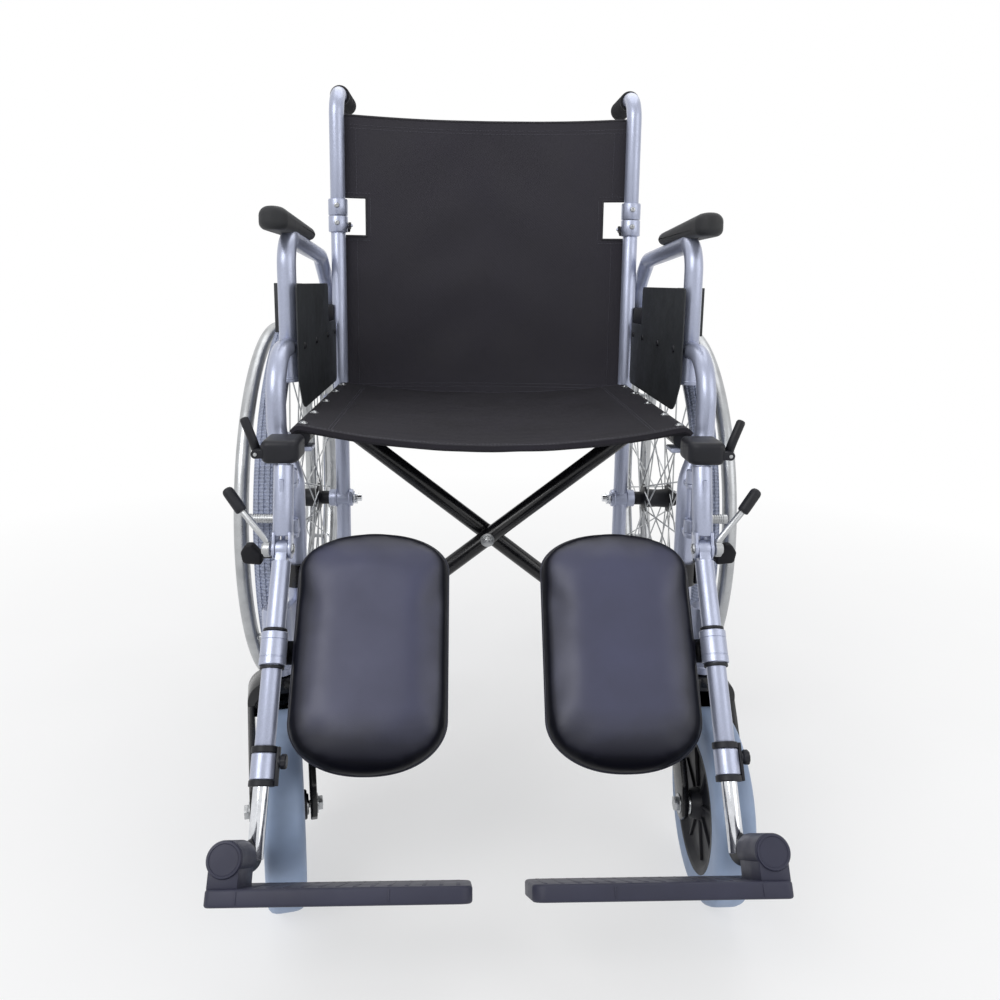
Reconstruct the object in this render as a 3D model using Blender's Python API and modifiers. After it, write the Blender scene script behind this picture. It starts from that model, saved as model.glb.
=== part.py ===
# Folding wheelchair with elevating legrests, modelled at real size.
# Metres, +Z up. The chair faces -Y and the occupant's left side is +X.
# The origin is on the floor, under the middle of the chair.
import math

import bmesh
import bpy
from mathutils import Matrix, Vector

# Frame tubes
TUBE_R = 0.0111
POST_X = 0.2225
POST_LEAN = math.radians(1.4)
POST_STRAIGHT_Z = 0.500
HINGE_Z = 0.742
BACK_TOP_Z = 0.935
RAIL_X = 0.243
RAIL_Z = 0.571
RAIL_FRONT_Y = -0.390
RAIL_BEND_R = 0.055
FRONT_POST_X = 0.222
FRONT_POST_Y = -0.405
LOWER_RAIL_X = 0.215
LOWER_RAIL_Z = 0.145
LOWER_RAIL_BEND_Y = -0.262
FRONT_POST_FOOT_Z = 0.262
TIPPER_LENGTH = 0.095

# Running clearances
GAP = 0.0003
HINGE_GAP = 0.0004

# Rear wheels
WHEEL_R = 0.305
WHEEL_X = 0.281
TYRE_WIDTH = 0.034
TYRE_DEPTH = 0.028
RIM_WIDTH = 0.024
RIM_DEPTH = 0.014
SPOKE_COUNT = 36
SPOKE_R = 0.0012
HUB_FLANGE_R = 0.023
HUB_FLANGE_X = 0.020
HUB_BODY_R = 0.015
AXLE_R = 0.006
AXLE_INNER_X = 0.193
HANDRIM_X = 0.3185
HANDRIM_R = WHEEL_R - 0.037
HANDRIM_TUBE_R = 0.0095
HANDRIM_STUD_COUNT = 6
STUD_R = 0.0035

# Casters
STEM_X = 0.236
STEM_Y = -0.455
STEM_HOUSING_R = 0.016
STEM_HOUSING_Z = (0.2245, 0.300)
STEM_R = 0.008
CASTER_R = 0.100
CASTER_WIDTH = 0.040
CASTER_TRAIL = 0.065
FORK_GAP = 0.0075
FORK_THICK = 0.007
FORK_CROWN_Z = (0.2065, 0.2235)
CASTER_HUB_R = 0.070
RIGHT_CASTER_TURN = math.radians(12.0)

# Folding cross
CROSS_Y = -0.225
CROSS_OFFSET = 0.013
SEAT_TUBE_X = 0.215
SEAT_TUBE_Z = 0.479
SEAT_TUBE_Y = (-0.400, -0.036)
SLEEVE_LENGTH = 0.056
SLEEVE_WALL = 0.003
CROSS_BOLT_R = 0.004

# Seat and back fabric
SLING_THICK = 0.003
SEAT_SAG = 0.022
SEAT_FRONT_Y = -0.408
SEAT_REAR_Y = -0.016
BACK_SLING_Z = (0.492, 0.890)
BACK_SLING_HALF = 0.2255
BACK_SAG = 0.020
NOTCH_Z = (0.713, 0.771)
NOTCH_DEPTH = 0.044

# Upper back
HANDLE_BEND_R = 0.038
HANDLE_LENGTH = 0.128
GRIP_R = 0.0150
GRIP_LENGTH = 0.092
HINGE_SLEEVE_R = 0.0145
HINGE_SLEEVE_LENGTH = 0.048
BACK_LEVER_Z = 0.728

# Arms
ARM_FRONT_Y = -0.304
ARM_TOP_Z = 0.709
ARM_SOCKET_R = 0.0140
ARM_SOCKET_Z = (0.529, 0.577)
ARM_PIVOT_Y = 0.034
ARM_PIVOT_Z = 0.588
ARM_REAR_X = 0.2485
ARM_PIVOT_X = 0.240
PAD_X = 0.2535
PAD_WIDTH = 0.0385
PAD_HEIGHT = 0.026
PAD_Y = (-0.345, -0.130)
PANEL_X = 0.2277
PANEL_THICK = 0.002
PANEL_FRONT_Y = -0.330
PANEL_TOP_Z = 0.646
PANEL_BOTTOM_Z = 0.495
PANEL_REAR_Y = -0.0135
PANEL_STEP_Y = -0.086
PANEL_STEP_Z = 0.588
PANEL_FLANGE_X = 0.2615

# Legrests, measured along the leg from the knee pivot
LEG_X = 0.222
LEG_R = 0.0098
INNER_LEG_R = 0.0076
KNEE_Y = -0.482
KNEE_Z = 0.375
LEG_ANGLE = math.radians(35.0)
HANGER_TOP_Y = -0.461
HANGER_TOP_Z = 0.4605
SWING_Y = -0.432
LEG_TUBE_END = 0.226
INNER_LEG_END = 0.292
FOOT_HINGE_X = 0.233
FOOT_HINGE_R = 0.0150
FOOT_DROP = 0.022
FOOT_THICK = 0.014
FOOT_FORWARD = 0.073
FOOT_BACK = 0.036
FOOT_INNER_X = 0.025
FOOT_OUTER_X = 0.247
CALF_X = 0.126
CALF_WIDTH = 0.157
CALF_LENGTH = 0.243
CALF_THICK = 0.036
CALF_CENTRE = 0.103
CALF_BRACKET_AT = 0.104

# Brakes
BRAKE_PIVOT_Y = -WHEEL_R - 0.030
BRAKE_PIVOT_Z = WHEEL_R + 0.017
SHOE_R = 0.006
SHOE_GAP = 0.009
SHOE_Z = WHEEL_R + 0.055
SHOE_Y = -math.sqrt((WHEEL_R + SHOE_R + SHOE_GAP) ** 2 - (SHOE_Z - WHEEL_R) ** 2)

# The box of the chair runs from the footplates' front edge to the rear tyres,
# and the origin is under its middle.
FOOT_FRONT_Y = (
    KNEE_Y
    - math.sin(LEG_ANGLE) * (INNER_LEG_END + FOOT_DROP)
    - math.cos(LEG_ANGLE) * FOOT_FORWARD
)
FRONT_REACH = -FOOT_FRONT_Y + math.sin(LEG_ANGLE) * FOOT_THICK
AXLE_Y = (FRONT_REACH - WHEEL_R) / 2


def place(x, y, z):
    """A point given with Y measured from the rear axle."""
    return Vector((x, AXLE_Y + y, z))


def leg_point(x, along, forward=0.0):
    """A point beside the leg tube, along it from the knee and forward of it."""
    y = KNEE_Y - math.sin(LEG_ANGLE) * along - math.cos(LEG_ANGLE) * forward
    z = KNEE_Z - math.cos(LEG_ANGLE) * along + math.sin(LEG_ANGLE) * forward
    return place(x, y, z)


def post_y(z):
    """Where the leaning back post stands at a height, from the rear axle."""
    return max(0.0, z - POST_STRAIGHT_Z) * math.tan(POST_LEAN)


# Scene and materials
def clear_scene():
    for item in list(bpy.data.objects):
        bpy.data.objects.remove(item, do_unlink=True)


def collection(name):
    group = bpy.data.collections.new(name)
    bpy.context.scene.collection.children.link(group)
    return group


def material(name, colour, roughness, metallic=0.0):
    made = bpy.data.materials.new(name)
    made.use_nodes = True
    shader = made.node_tree.nodes["Principled BSDF"]
    shader.inputs["Base Color"].default_value = (*colour, 1.0)
    shader.inputs["Roughness"].default_value = roughness
    shader.inputs["Metallic"].default_value = metallic
    made.diffuse_color = (*colour, 1.0)
    return made


clear_scene()
CHAIR = collection("wheelchair")
CUTTERS = collection("cutters")

SILVER_PAINT = material("silver_paint", (0.50, 0.52, 0.60), 0.35, 0.6)
BLACK_PAINT = material("black_paint", (0.015, 0.015, 0.018), 0.35)
CHROME = material("chrome", (0.80, 0.80, 0.82), 0.12, 1.0)
ZINC = material("zinc_steel", (0.62, 0.63, 0.64), 0.35, 1.0)
BLACK_PLASTIC = material("black_plastic", (0.030, 0.031, 0.036), 0.5)
GREY_PLASTIC = material("grey_plastic", (0.080, 0.078, 0.105), 0.5)
FOAM = material("arm_foam", (0.035, 0.040, 0.036), 0.8)
VINYL = material("vinyl", (0.085, 0.085, 0.120), 0.45)
NYLON = material("nylon", (0.035, 0.032, 0.042), 0.85)
TYRE_RUBBER = material("tyre_rubber", (0.26, 0.29, 0.44), 0.7)
GREY_RUBBER = material("caster_rubber", (0.20, 0.26, 0.34), 0.6)
PANEL_PLASTIC = material("panel_plastic", (0.025, 0.028, 0.032), 0.6)


# Basic solids, each made in world coordinates
def new_object(name, mesh, group=None):
    made = bpy.data.objects.new(name, mesh)
    (group or CUTTERS).objects.link(made)
    return made


def from_bmesh(name, shape):
    mesh = bpy.data.meshes.new(name)
    shape.to_mesh(mesh)
    shape.free()
    return new_object(name, mesh)


def evaluated_mesh(item):
    graph = bpy.context.evaluated_depsgraph_get()
    return bpy.data.meshes.new_from_object(item.evaluated_get(graph), depsgraph=graph)


def as_mesh(item):
    """Turn a curve or a modified object into a welded mesh object."""
    bpy.context.view_layer.update()
    mesh = evaluated_mesh(item)
    mesh.transform(item.matrix_world)
    shape = bmesh.new()
    shape.from_mesh(mesh)
    bmesh.ops.remove_doubles(shape, verts=shape.verts, dist=0.00001)
    shape.to_mesh(mesh)
    shape.free()
    name = item.name
    bpy.data.objects.remove(item, do_unlink=True)
    return new_object(name, mesh)


def aim(direction):
    """A rotation that turns +Z to a direction."""
    return Vector(direction).to_track_quat("Z", "Y").to_matrix().to_4x4()


def rod(start, end, radius, sides=10, end_radius=None):
    start, end = Vector(start), Vector(end)
    shape = bmesh.new()
    bmesh.ops.create_cone(
        shape, cap_ends=True, segments=sides, radius1=radius,
        radius2=radius if end_radius is None else end_radius,
        depth=(end - start).length,
        matrix=Matrix.Translation((start + end) / 2) @ aim(end - start),
    )
    return from_bmesh("rod", shape)


def block(centre, size, turn=None):
    shape = bmesh.new()
    spin = turn if turn is not None else Matrix.Identity(4)
    grow = Matrix.Diagonal((*size, 1.0))
    bmesh.ops.create_cube(shape, size=1.0, matrix=Matrix.Translation(centre) @ spin @ grow)
    return from_bmesh("block", shape)


def bent_path(corners, radii, steps=4):
    """Points along straight runs whose inner corners are rounded as arcs."""
    corners = [Vector(corner) for corner in corners]
    points = [corners[0]]
    for index in range(1, len(corners) - 1):
        here = corners[index]
        back = (corners[index - 1] - here).normalized()
        ahead = (corners[index + 1] - here).normalized()
        half = back.angle(ahead) / 2
        radius = radii[index - 1]
        reach = radius / math.tan(half)
        centre = here + (back + ahead).normalized() * radius / math.sin(half)
        first = here + back * reach - centre
        last = here + ahead * reach - centre
        sweep = first.angle(last)
        axis = first.cross(last).normalized()
        for step in range(steps + 1):
            turned = Matrix.Rotation(sweep * step / steps, 3, axis) @ first
            points.append(centre + turned)
    points.append(corners[-1])
    return points


def tube(points, radius, resolution=2):
    """A round bar along points, closed at both ends."""
    curve = bpy.data.curves.new("tube", "CURVE")
    curve.dimensions = "3D"
    curve.bevel_depth = radius
    curve.bevel_resolution = resolution
    curve.use_fill_caps = True
    spline = curve.splines.new("POLY")
    spline.points.add(len(points) - 1)
    for target, point in zip(spline.points, points):
        target.co = (*point, 1.0)
    item = bpy.data.objects.new("tube", curve)
    CUTTERS.objects.link(item)
    return as_mesh(item)


def flat_shape(outline, thickness, matrix):
    """A plate from a flat outline, its thickness centred on the outline's plane."""
    curve = bpy.data.curves.new("plate", "CURVE")
    curve.dimensions = "2D"
    curve.fill_mode = "BOTH"
    curve.extrude = thickness / 2
    spline = curve.splines.new("POLY")
    spline.points.add(len(outline) - 1)
    for target, point in zip(spline.points, outline):
        target.co = (point[0], point[1], 0.0, 1.0)
    spline.use_cyclic_u = True
    item = bpy.data.objects.new("plate", curve)
    CUTTERS.objects.link(item)
    item.matrix_world = matrix
    return as_mesh(item)


def rounded(corners, radii, steps=4):
    """A closed outline with its corners rounded."""
    outline = []
    count = len(corners)
    for index in range(count):
        before = Vector((*corners[index - 1], 0.0))
        here = Vector((*corners[index], 0.0))
        after = Vector((*corners[(index + 1) % count], 0.0))
        if radii[index] <= 0:
            outline.append((here.x, here.y))
            continue
        arc = bent_path([before, here, after], [radii[index]], steps)
        outline.extend((point.x, point.y) for point in arc[1:-1])
    return outline


def turned(profile, centre, axis, steps=32):
    """A closed ring or disc: a profile of (radius, height) pairs turned about an axis."""
    mesh = bpy.data.meshes.new("turned")
    verts = [(radius, 0.0, height) for radius, height in profile]
    closed = profile[0][0] > 0 and profile[-1][0] > 0
    edges = [(index, index + 1) for index in range(len(verts) - 1)]
    if closed:
        edges.append((len(verts) - 1, 0))
    mesh.from_pydata(verts, edges, [])
    item = new_object("turned", mesh)
    screw = item.modifiers.new("turn", "SCREW")
    screw.steps = screw.render_steps = steps
    screw.use_merge_vertices = True
    screw.merge_threshold = 0.00001
    screw.use_normal_calculate = True
    item.matrix_world = Matrix.Translation(centre) @ aim(axis)
    made = as_mesh(item)
    shape = bmesh.new()
    shape.from_mesh(made.data)
    bmesh.ops.recalc_face_normals(shape, faces=shape.faces)
    shape.to_mesh(made.data)
    shape.free()
    return made


def ring(centre, axis, major, minor, major_steps=40, minor_steps=8):
    """A torus about an axis."""
    profile = []
    for index in range(minor_steps):
        angle = 2 * math.pi * index / minor_steps
        profile.append((major + minor * math.cos(angle), -minor * math.sin(angle)))
    return turned(profile, centre, axis, major_steps)


def combine(name, look, solids, cutters=(), origin=None):
    """One closed body: solids joined, cutters taken out, origin on its joint."""
    base = solids[0]
    for operation, items in (("UNION", solids[1:]), ("DIFFERENCE", cutters)):
        for item in items:
            step = base.modifiers.new(operation.lower(), "BOOLEAN")
            step.operation = operation
            step.solver = "EXACT"
            step.object = item
    made = as_mesh(base) if base.modifiers else base
    for item in list(solids[1:]) + list(cutters):
        bpy.data.objects.remove(item, do_unlink=True)
    return finish(name, look, made, origin)


def finish(name, look, item, origin=None):
    """Name a solid, give it its material, and put its origin on its joint axis."""
    mesh = item.data
    mesh.transform(item.matrix_world)
    item.matrix_world = Matrix.Identity(4)
    if origin is not None:
        mesh.transform(Matrix.Translation(-Vector(origin)))
        item.location = origin
    for group in list(item.users_collection):
        group.objects.unlink(item)
    CHAIR.objects.link(item)
    item.name = name
    mesh.name = name
    mesh.materials.clear()
    mesh.materials.append(look)
    mesh.shade_smooth()
    mesh.set_sharp_from_angle(angle=math.radians(38))
    return item


# A plate's own X and Y laid on the world's Y and Z, its thickness along X
SIDE_PLANE = Matrix(((0, 0, 1, 0), (1, 0, 0, 0), (0, 1, 0, 0), (0, 0, 0, 1)))


def side_plate(outline, thickness, x):
    """A plate in a side plane, its outline given as (Y from the axle, Z)."""
    shifted = [(AXLE_Y + y, z) for y, z in outline]
    return flat_shape(shifted, thickness, Matrix.Translation((x, 0, 0)) @ SIDE_PLANE)


# Side frames
ARM_BRACKET_Z = (ARM_PIVOT_Z - 0.005, ARM_PIVOT_Z + 0.022)
SADDLE_TOP_Z = SEAT_TUBE_Z + 0.001
SADDLE_LENGTH = 0.026
SADDLE_Y = (-0.387, -0.0645)


# Hinge of the legrest on the front post: two lugs, each with an upright pin
LUG_Z = (0.3727, 0.4287)
LUG_THICK = 0.0056
SWING_PIN = 0.0145


def hinge_y():
    """The upper back turns about a knuckle just behind the post's sleeve."""
    return post_y(HINGE_Z) + HINGE_SLEEVE_R + 0.0045


def saddle(side, y):
    """A cup on the frame that the seat tube drops into."""
    inner = SEAT_TUBE_X - TUBE_R - 0.001
    outer = RAIL_X - 0.004
    height = SADDLE_TOP_Z - (SEAT_TUBE_Z - TUBE_R - 0.006)
    centre = place(side * (inner + outer) / 2, y, SADDLE_TOP_Z - height / 2)
    return block(centre, (outer - inner, SADDLE_LENGTH, height))


def side_frame(side, name):
    """Bent side rail and front post, back post, lower rail, and what is welded on."""
    rail = tube(bent_path([
        place(side * RAIL_X, 0.004, RAIL_Z),
        place(side * RAIL_X, RAIL_FRONT_Y, RAIL_Z),
        place(side * RAIL_X, RAIL_FRONT_Y, 0.480),
        place(side * FRONT_POST_X, FRONT_POST_Y, 0.432),
        place(side * FRONT_POST_X, FRONT_POST_Y, FRONT_POST_FOOT_Z - 0.008),
    ], [RAIL_BEND_R, 0.04, 0.04]), TUBE_R)
    post = tube(bent_path([
        place(side * POST_X, 0.0, LOWER_RAIL_Z - 0.004),
        place(side * POST_X, 0.0, POST_STRAIGHT_Z),
        place(side * POST_X, post_y(HINGE_Z), HINGE_Z - HINGE_GAP),
    ], [0.3], 3), TUBE_R)
    lower = tube(bent_path([
        place(side * LOWER_RAIL_X, TIPPER_LENGTH, LOWER_RAIL_Z),
        place(side * LOWER_RAIL_X, LOWER_RAIL_BEND_Y, LOWER_RAIL_Z),
        place(side * FRONT_POST_X, FRONT_POST_Y, FRONT_POST_FOOT_Z),
    ], [0.022], 4), TUBE_R)
    housing = rod(place(side * STEM_X, STEM_Y, STEM_HOUSING_Z[0]),
                  place(side * STEM_X, STEM_Y, STEM_HOUSING_Z[1]), STEM_HOUSING_R, 12)
    stem_bore = rod(place(side * STEM_X, STEM_Y, STEM_HOUSING_Z[0] - 0.01),
                    place(side * STEM_X, STEM_Y, STEM_HOUSING_Z[1] - 0.008),
                    STEM_R + HINGE_GAP, 12)
    reach = Vector((STEM_X - FRONT_POST_X, STEM_Y - FRONT_POST_Y, 0.0))
    turn = Matrix.Rotation(math.atan2(side * reach.x, -reach.y), 4, "Z")
    gusset = block(place(side * (STEM_X + FRONT_POST_X) / 2, (STEM_Y + FRONT_POST_Y) / 2,
                         (STEM_HOUSING_Z[0] + STEM_HOUSING_Z[1]) / 2 + 0.002),
                   (0.010, reach.length, 0.058), turn)
    sleeve = rod(place(side * (POST_X - 0.0155), 0.0, WHEEL_R),
                 place(side * (POST_X + 0.0215), 0.0, WHEEL_R), 0.0135)
    axle_bore = rod(place(side * (POST_X - 0.03), 0.0, WHEEL_R),
                    place(side * (POST_X + 0.03), 0.0, WHEEL_R), AXLE_R + GAP, 12)
    socket = rod(place(side * RAIL_X, ARM_FRONT_Y, ARM_SOCKET_Z[0]),
                 place(side * RAIL_X, ARM_FRONT_Y, ARM_SOCKET_Z[1]), ARM_SOCKET_R, 12)
    socket_bore = rod(place(side * RAIL_X, ARM_FRONT_Y, ARM_SOCKET_Z[0] + 0.003),
                      place(side * RAIL_X, ARM_FRONT_Y, ARM_SOCKET_Z[1] + 0.01),
                      TUBE_R + 2 * GAP, 16)
    collar = rod(place(side * POST_X, post_y(HINGE_Z - 0.012), HINGE_Z - HINGE_SLEEVE_LENGTH / 2),
                 place(side * POST_X, post_y(HINGE_Z), HINGE_Z - HINGE_GAP), HINGE_SLEEVE_R, 12)
    hinge = place(side * POST_X, hinge_y(), HINGE_Z)
    knuckle = rod(hinge - Vector((0.0045, 0, 0)), hinge + Vector((0.0045, 0, 0)), 0.0040, 8)
    web = block(place(side * POST_X, hinge_y() - 0.0055, HINGE_Z - 0.0062), (0.0086, 0.011, 0.012))
    lever_pin = rod(place(side * (POST_X - 0.011), post_y(BACK_LEVER_Z), BACK_LEVER_Z),
                    place(side * (POST_X - 0.0210), post_y(BACK_LEVER_Z), BACK_LEVER_Z),
                    0.0020, 8)
    pin_bore = rod(hinge - Vector((0.02, 0, 0)), hinge + Vector((0.02, 0, 0)),
                   0.0016 + GAP, 8)
    seats = [saddle(side, y) for y in SADDLE_Y]
    seat_bore = rod(place(side * SEAT_TUBE_X, -0.45, SEAT_TUBE_Z),
                    place(side * SEAT_TUBE_X, -0.02, SEAT_TUBE_Z), TUBE_R + GAP, 16)
    rear_stay = block(place(side * (POST_X + 0.004), -0.030, SADDLE_TOP_Z - 0.0091),
                      (0.010, 0.050, 0.0165))
    lugs = []
    for low in LUG_Z:
        middle = low + LUG_THICK / 2
        lugs.append(block(place(side * LEG_X, (FRONT_POST_Y + SWING_Y) / 2, middle),
                          (0.013, FRONT_POST_Y - SWING_Y, LUG_THICK - 0.0004)))
        lugs.append(rod(place(side * LEG_X, SWING_Y, low),
                        place(side * LEG_X, SWING_Y, low + LUG_THICK), 0.0080, 10))
        lugs.append(rod(place(side * LEG_X, SWING_Y, middle),
                        place(side * LEG_X, SWING_Y, low + LUG_THICK + SWING_PIN), 0.0040, 8))
    return combine(name, SILVER_PAINT,
                   [rail, post, lower, housing, gusset, sleeve, socket, collar, web, knuckle,
                    rear_stay, lever_pin, *seats, *lugs],
                   [stem_bore, axle_bore, socket_bore, pin_bore, seat_bore])


def arm_hinge_bracket(side, name):
    """Black bracket on the outer half of the back post, with two ears and a pin."""
    low, high = ARM_BRACKET_Z
    outer = ARM_PIVOT_X + 0.010
    inner = POST_X + 0.0075
    middle = side * (outer + inner) / 2
    body = block(place(middle, 0.005, (low + high) / 2), (outer - inner, 0.030, high - low))
    ears = []
    for x0, x1 in ((inner + 0.0008, ARM_PIVOT_X - 0.0037), (ARM_PIVOT_X + 0.0037, outer - 0.0006)):
        ear_x = side * (x0 + x1) / 2
        ears.append(block(place(ear_x, 0.024, ARM_PIVOT_Z + 0.001),
                          (x1 - x0 - 0.0004, 0.020, 0.022)))
        ears.append(rod(place(side * x0, ARM_PIVOT_Y, ARM_PIVOT_Z),
                        place(side * x1, ARM_PIVOT_Y, ARM_PIVOT_Z), 0.012, 12))
    pin = rod(place(side * (inner + 0.001), ARM_PIVOT_Y, ARM_PIVOT_Z),
              place(side * (outer + 0.003), ARM_PIVOT_Y, ARM_PIVOT_Z), 0.0035, 8)
    post_bore = rod(place(side * POST_X, post_y(low - 0.01), low - 0.01),
                    place(side * POST_X, post_y(high + 0.01), high + 0.01), TUBE_R + GAP, 16)
    return combine(name, BLACK_PLASTIC, [body, *ears, pin], [post_bore])


# Folding cross under the seat
CROSS_MID_Z = (SEAT_TUBE_Z + LOWER_RAIL_Z) / 2


def cross_tube(name, foot_side, y_offset):
    """A diagonal that turns on one lower rail and carries the other seat tube."""
    foot = place(foot_side * LOWER_RAIL_X, CROSS_Y + y_offset, LOWER_RAIL_Z)
    head = place(-foot_side * SEAT_TUBE_X, CROSS_Y + y_offset, SEAT_TUBE_Z)
    sleeve_r = TUBE_R + HINGE_GAP + SLEEVE_WALL
    half = Vector((0, SLEEVE_LENGTH / 2, 0))
    sleeve_at = place(foot_side * LOWER_RAIL_X, CROSS_Y, LOWER_RAIL_Z)
    diagonal = rod(foot, head, TUBE_R)
    sleeve = rod(sleeve_at - half, sleeve_at + half, sleeve_r, 12)
    seat = rod(place(-foot_side * SEAT_TUBE_X, SEAT_TUBE_Y[0], SEAT_TUBE_Z),
               place(-foot_side * SEAT_TUBE_X, SEAT_TUBE_Y[1], SEAT_TUBE_Z), TUBE_R)
    rail_bore = rod(sleeve_at - 2 * half, sleeve_at + 2 * half, TUBE_R + HINGE_GAP, 14)
    bolt_bore = rod(place(0, CROSS_Y + y_offset - 0.03, CROSS_MID_Z),
                    place(0, CROSS_Y + y_offset + 0.03, CROSS_MID_Z), CROSS_BOLT_R + GAP, 10)
    return combine(name, BLACK_PAINT, [diagonal, sleeve, seat], [rail_bore, bolt_bore], sleeve_at)


def cross_bolt():
    """The bolt that the two diagonals turn on, with its head, nut and spacer."""
    front = CROSS_Y - CROSS_OFFSET - TUBE_R - GAP
    back = CROSS_Y + CROSS_OFFSET + TUBE_R + GAP
    shank = rod(place(0, front - 0.003, CROSS_MID_Z), place(0, back + 0.006, CROSS_MID_Z),
                CROSS_BOLT_R, 8)
    head = rod(place(0, front - 0.0055, CROSS_MID_Z), place(0, front, CROSS_MID_Z), 0.0075, 6)
    nut = rod(place(0, back, CROSS_MID_Z), place(0, back + 0.006, CROSS_MID_Z), 0.0075, 6)
    spacer_half = CROSS_OFFSET - TUBE_R - GAP
    spacer = rod(place(0, CROSS_Y - spacer_half, CROSS_MID_Z),
                 place(0, CROSS_Y + spacer_half, CROSS_MID_Z), 0.008, 10)
    return combine("cross_bolt", ZINC, [shank, head, nut, spacer],
                   origin=place(0, CROSS_Y, CROSS_MID_Z))


# Fabric
def fabric(name, rows, drop=()):
    """A sheet through rows of points, given its thickness, less some faces."""
    shape = bmesh.new()
    columns = len(rows[0])
    bmesh.ops.create_grid(shape, x_segments=columns - 1, y_segments=len(rows) - 1, size=1.0)
    shape.verts.ensure_lookup_table()
    for index, vert in enumerate(shape.verts):
        vert.co = rows[index // columns][index % columns]
    shape.faces.ensure_lookup_table()
    gone = [shape.faces[row * (columns - 1) + column] for row, column in drop]
    bmesh.ops.delete(shape, geom=gone, context="FACES")
    item = from_bmesh(name, shape)
    wall = item.modifiers.new("cloth", "SOLIDIFY")
    wall.thickness = SLING_THICK
    wall.offset = 0.0
    wall.use_even_offset = True
    return finish(name, NYLON, as_mesh(item))


def seat_sling():
    """Seat cloth: over both seat tubes and sagging between them."""
    over = TUBE_R + 2 * HINGE_GAP + SLING_THICK / 2
    lean = math.atan(2 * SEAT_SAG / SEAT_TUBE_X)
    half = []
    for angle in (55, 35, 15):
        turn = math.radians(angle)
        half.append((SEAT_TUBE_X + over * math.sin(turn), over * math.cos(turn)))
    edge_x = SEAT_TUBE_X - over * math.sin(lean)
    edge_z = over * math.cos(lean)
    for step in range(6):
        part = 1 - step / 5
        half.append((edge_x * part, edge_z - SEAT_SAG * (1 - part * part)))
    rows = []
    for step in range(6):
        part = step / 5
        y = SEAT_FRONT_Y + (SEAT_REAR_Y - SEAT_FRONT_Y) * part
        slack = 1.0 - 0.35 * part
        row = []
        for sign, points in ((-1, half), (1, half[-2::-1])):
            for x, z in points:
                sagged = edge_z + (z - edge_z) * slack if x <= edge_x else z
                row.append(place(sign * x, y, SEAT_TUBE_Z + sagged))
        rows.append(row)
    return fabric("seat_sling", rows)


def back_sling():
    """Back cloth behind the posts, hollowed a little, notched at the folding sleeves."""
    half = BACK_SLING_HALF
    inner = half - NOTCH_DEPTH
    across = [-half, -inner, -inner * 0.66, -inner * 0.33, 0.0,
              inner * 0.33, inner * 0.66, inner, half]
    low, high = BACK_SLING_Z
    heights = [low, 0.548, 0.604, 0.660, NOTCH_Z[0], NOTCH_Z[1], 0.812, 0.852, high]
    rows = []
    for z in heights:
        row = []
        for x in across:
            hollow = BACK_SAG * (1 - min(1.0, abs(x) / (POST_X - TUBE_R)) ** 2)
            clear = TUBE_R + 2 * HINGE_GAP + SLING_THICK / 2
            row.append(place(x, post_y(z) + clear + hollow, z))
        rows.append(row)
    notch_row = heights.index(NOTCH_Z[0])
    return fabric("back_sling", rows, [(notch_row, 0), (notch_row, len(across) - 2)])


# Rear wheels
RIM_OUTER_R = WHEEL_R - TYRE_DEPTH
HUB_INNER_X = POST_X + 0.0219
HUB_OUTER_X = WHEEL_X + 0.031


def rear_wheel(side, name):
    """Rim, spokes and hub in one body, bored for the quick-release axle."""
    centre = place(side * WHEEL_X, 0.0, WHEEL_R)
    along = Vector((side, 0, 0))
    inner_r = RIM_OUTER_R - RIM_DEPTH
    half = RIM_WIDTH / 2
    rim = turned([(inner_r, -0.005), (inner_r, 0.005), (inner_r + 0.006, half),
                  (RIM_OUTER_R, half), (RIM_OUTER_R, -half), (inner_r + 0.006, -half)],
                 centre, along, 40)
    bore = AXLE_R + GAP
    body_low = HUB_INNER_X - WHEEL_X
    body_high = HUB_OUTER_X - WHEEL_X
    hub = turned([(bore, body_low), (0.0105, body_low), (0.0105, -HUB_FLANGE_X - 0.0035),
                  (HUB_FLANGE_R, -HUB_FLANGE_X - 0.0015), (HUB_FLANGE_R, -HUB_FLANGE_X + 0.0015),
                  (HUB_BODY_R, -HUB_FLANGE_X + 0.004), (HUB_BODY_R, HUB_FLANGE_X - 0.004),
                  (HUB_FLANGE_R, HUB_FLANGE_X - 0.0015), (HUB_FLANGE_R, HUB_FLANGE_X + 0.0015),
                  (0.0125, HUB_FLANGE_X + 0.0035), (0.0125, body_high), (bore, body_high)],
                 centre, along, 12)
    spokes = []
    for index in range(SPOKE_COUNT):
        flange = 1 if index % 2 else -1
        lead = 1 if (index // 2) % 2 else -1
        outer_turn = 2 * math.pi * index / SPOKE_COUNT
        inner_turn = outer_turn + lead * math.radians(62)
        hub_x = flange * (HUB_FLANGE_X + 0.0013 * lead)
        rim_x = flange * (0.0025 + 0.0004 * lead)
        hub_end = Vector((side * hub_x, 0.0205 * math.cos(inner_turn),
                          0.0205 * math.sin(inner_turn)))
        rim_end = Vector((side * rim_x, (inner_r + 0.004) * math.cos(outer_turn),
                          (inner_r + 0.004) * math.sin(outer_turn)))
        spokes.append(rod(centre + hub_end, centre + rim_end, SPOKE_R, 3))
    return combine(name, ZINC, [rim, hub, *spokes], origin=centre)


def rear_tyre(side, name):
    centre = place(side * WHEEL_X, 0.0, WHEEL_R)
    half = TYRE_WIDTH / 2
    bead = RIM_WIDTH / 2
    seat = RIM_OUTER_R + GAP
    tread = turned([(seat, -bead), (seat + 0.013, -half), (WHEEL_R, -0.008), (WHEEL_R, 0.008),
                    (seat + 0.013, half), (seat, bead)],
                   centre, (side, 0, 0), 40)
    return finish(name, TYRE_RUBBER, tread, centre)


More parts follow.
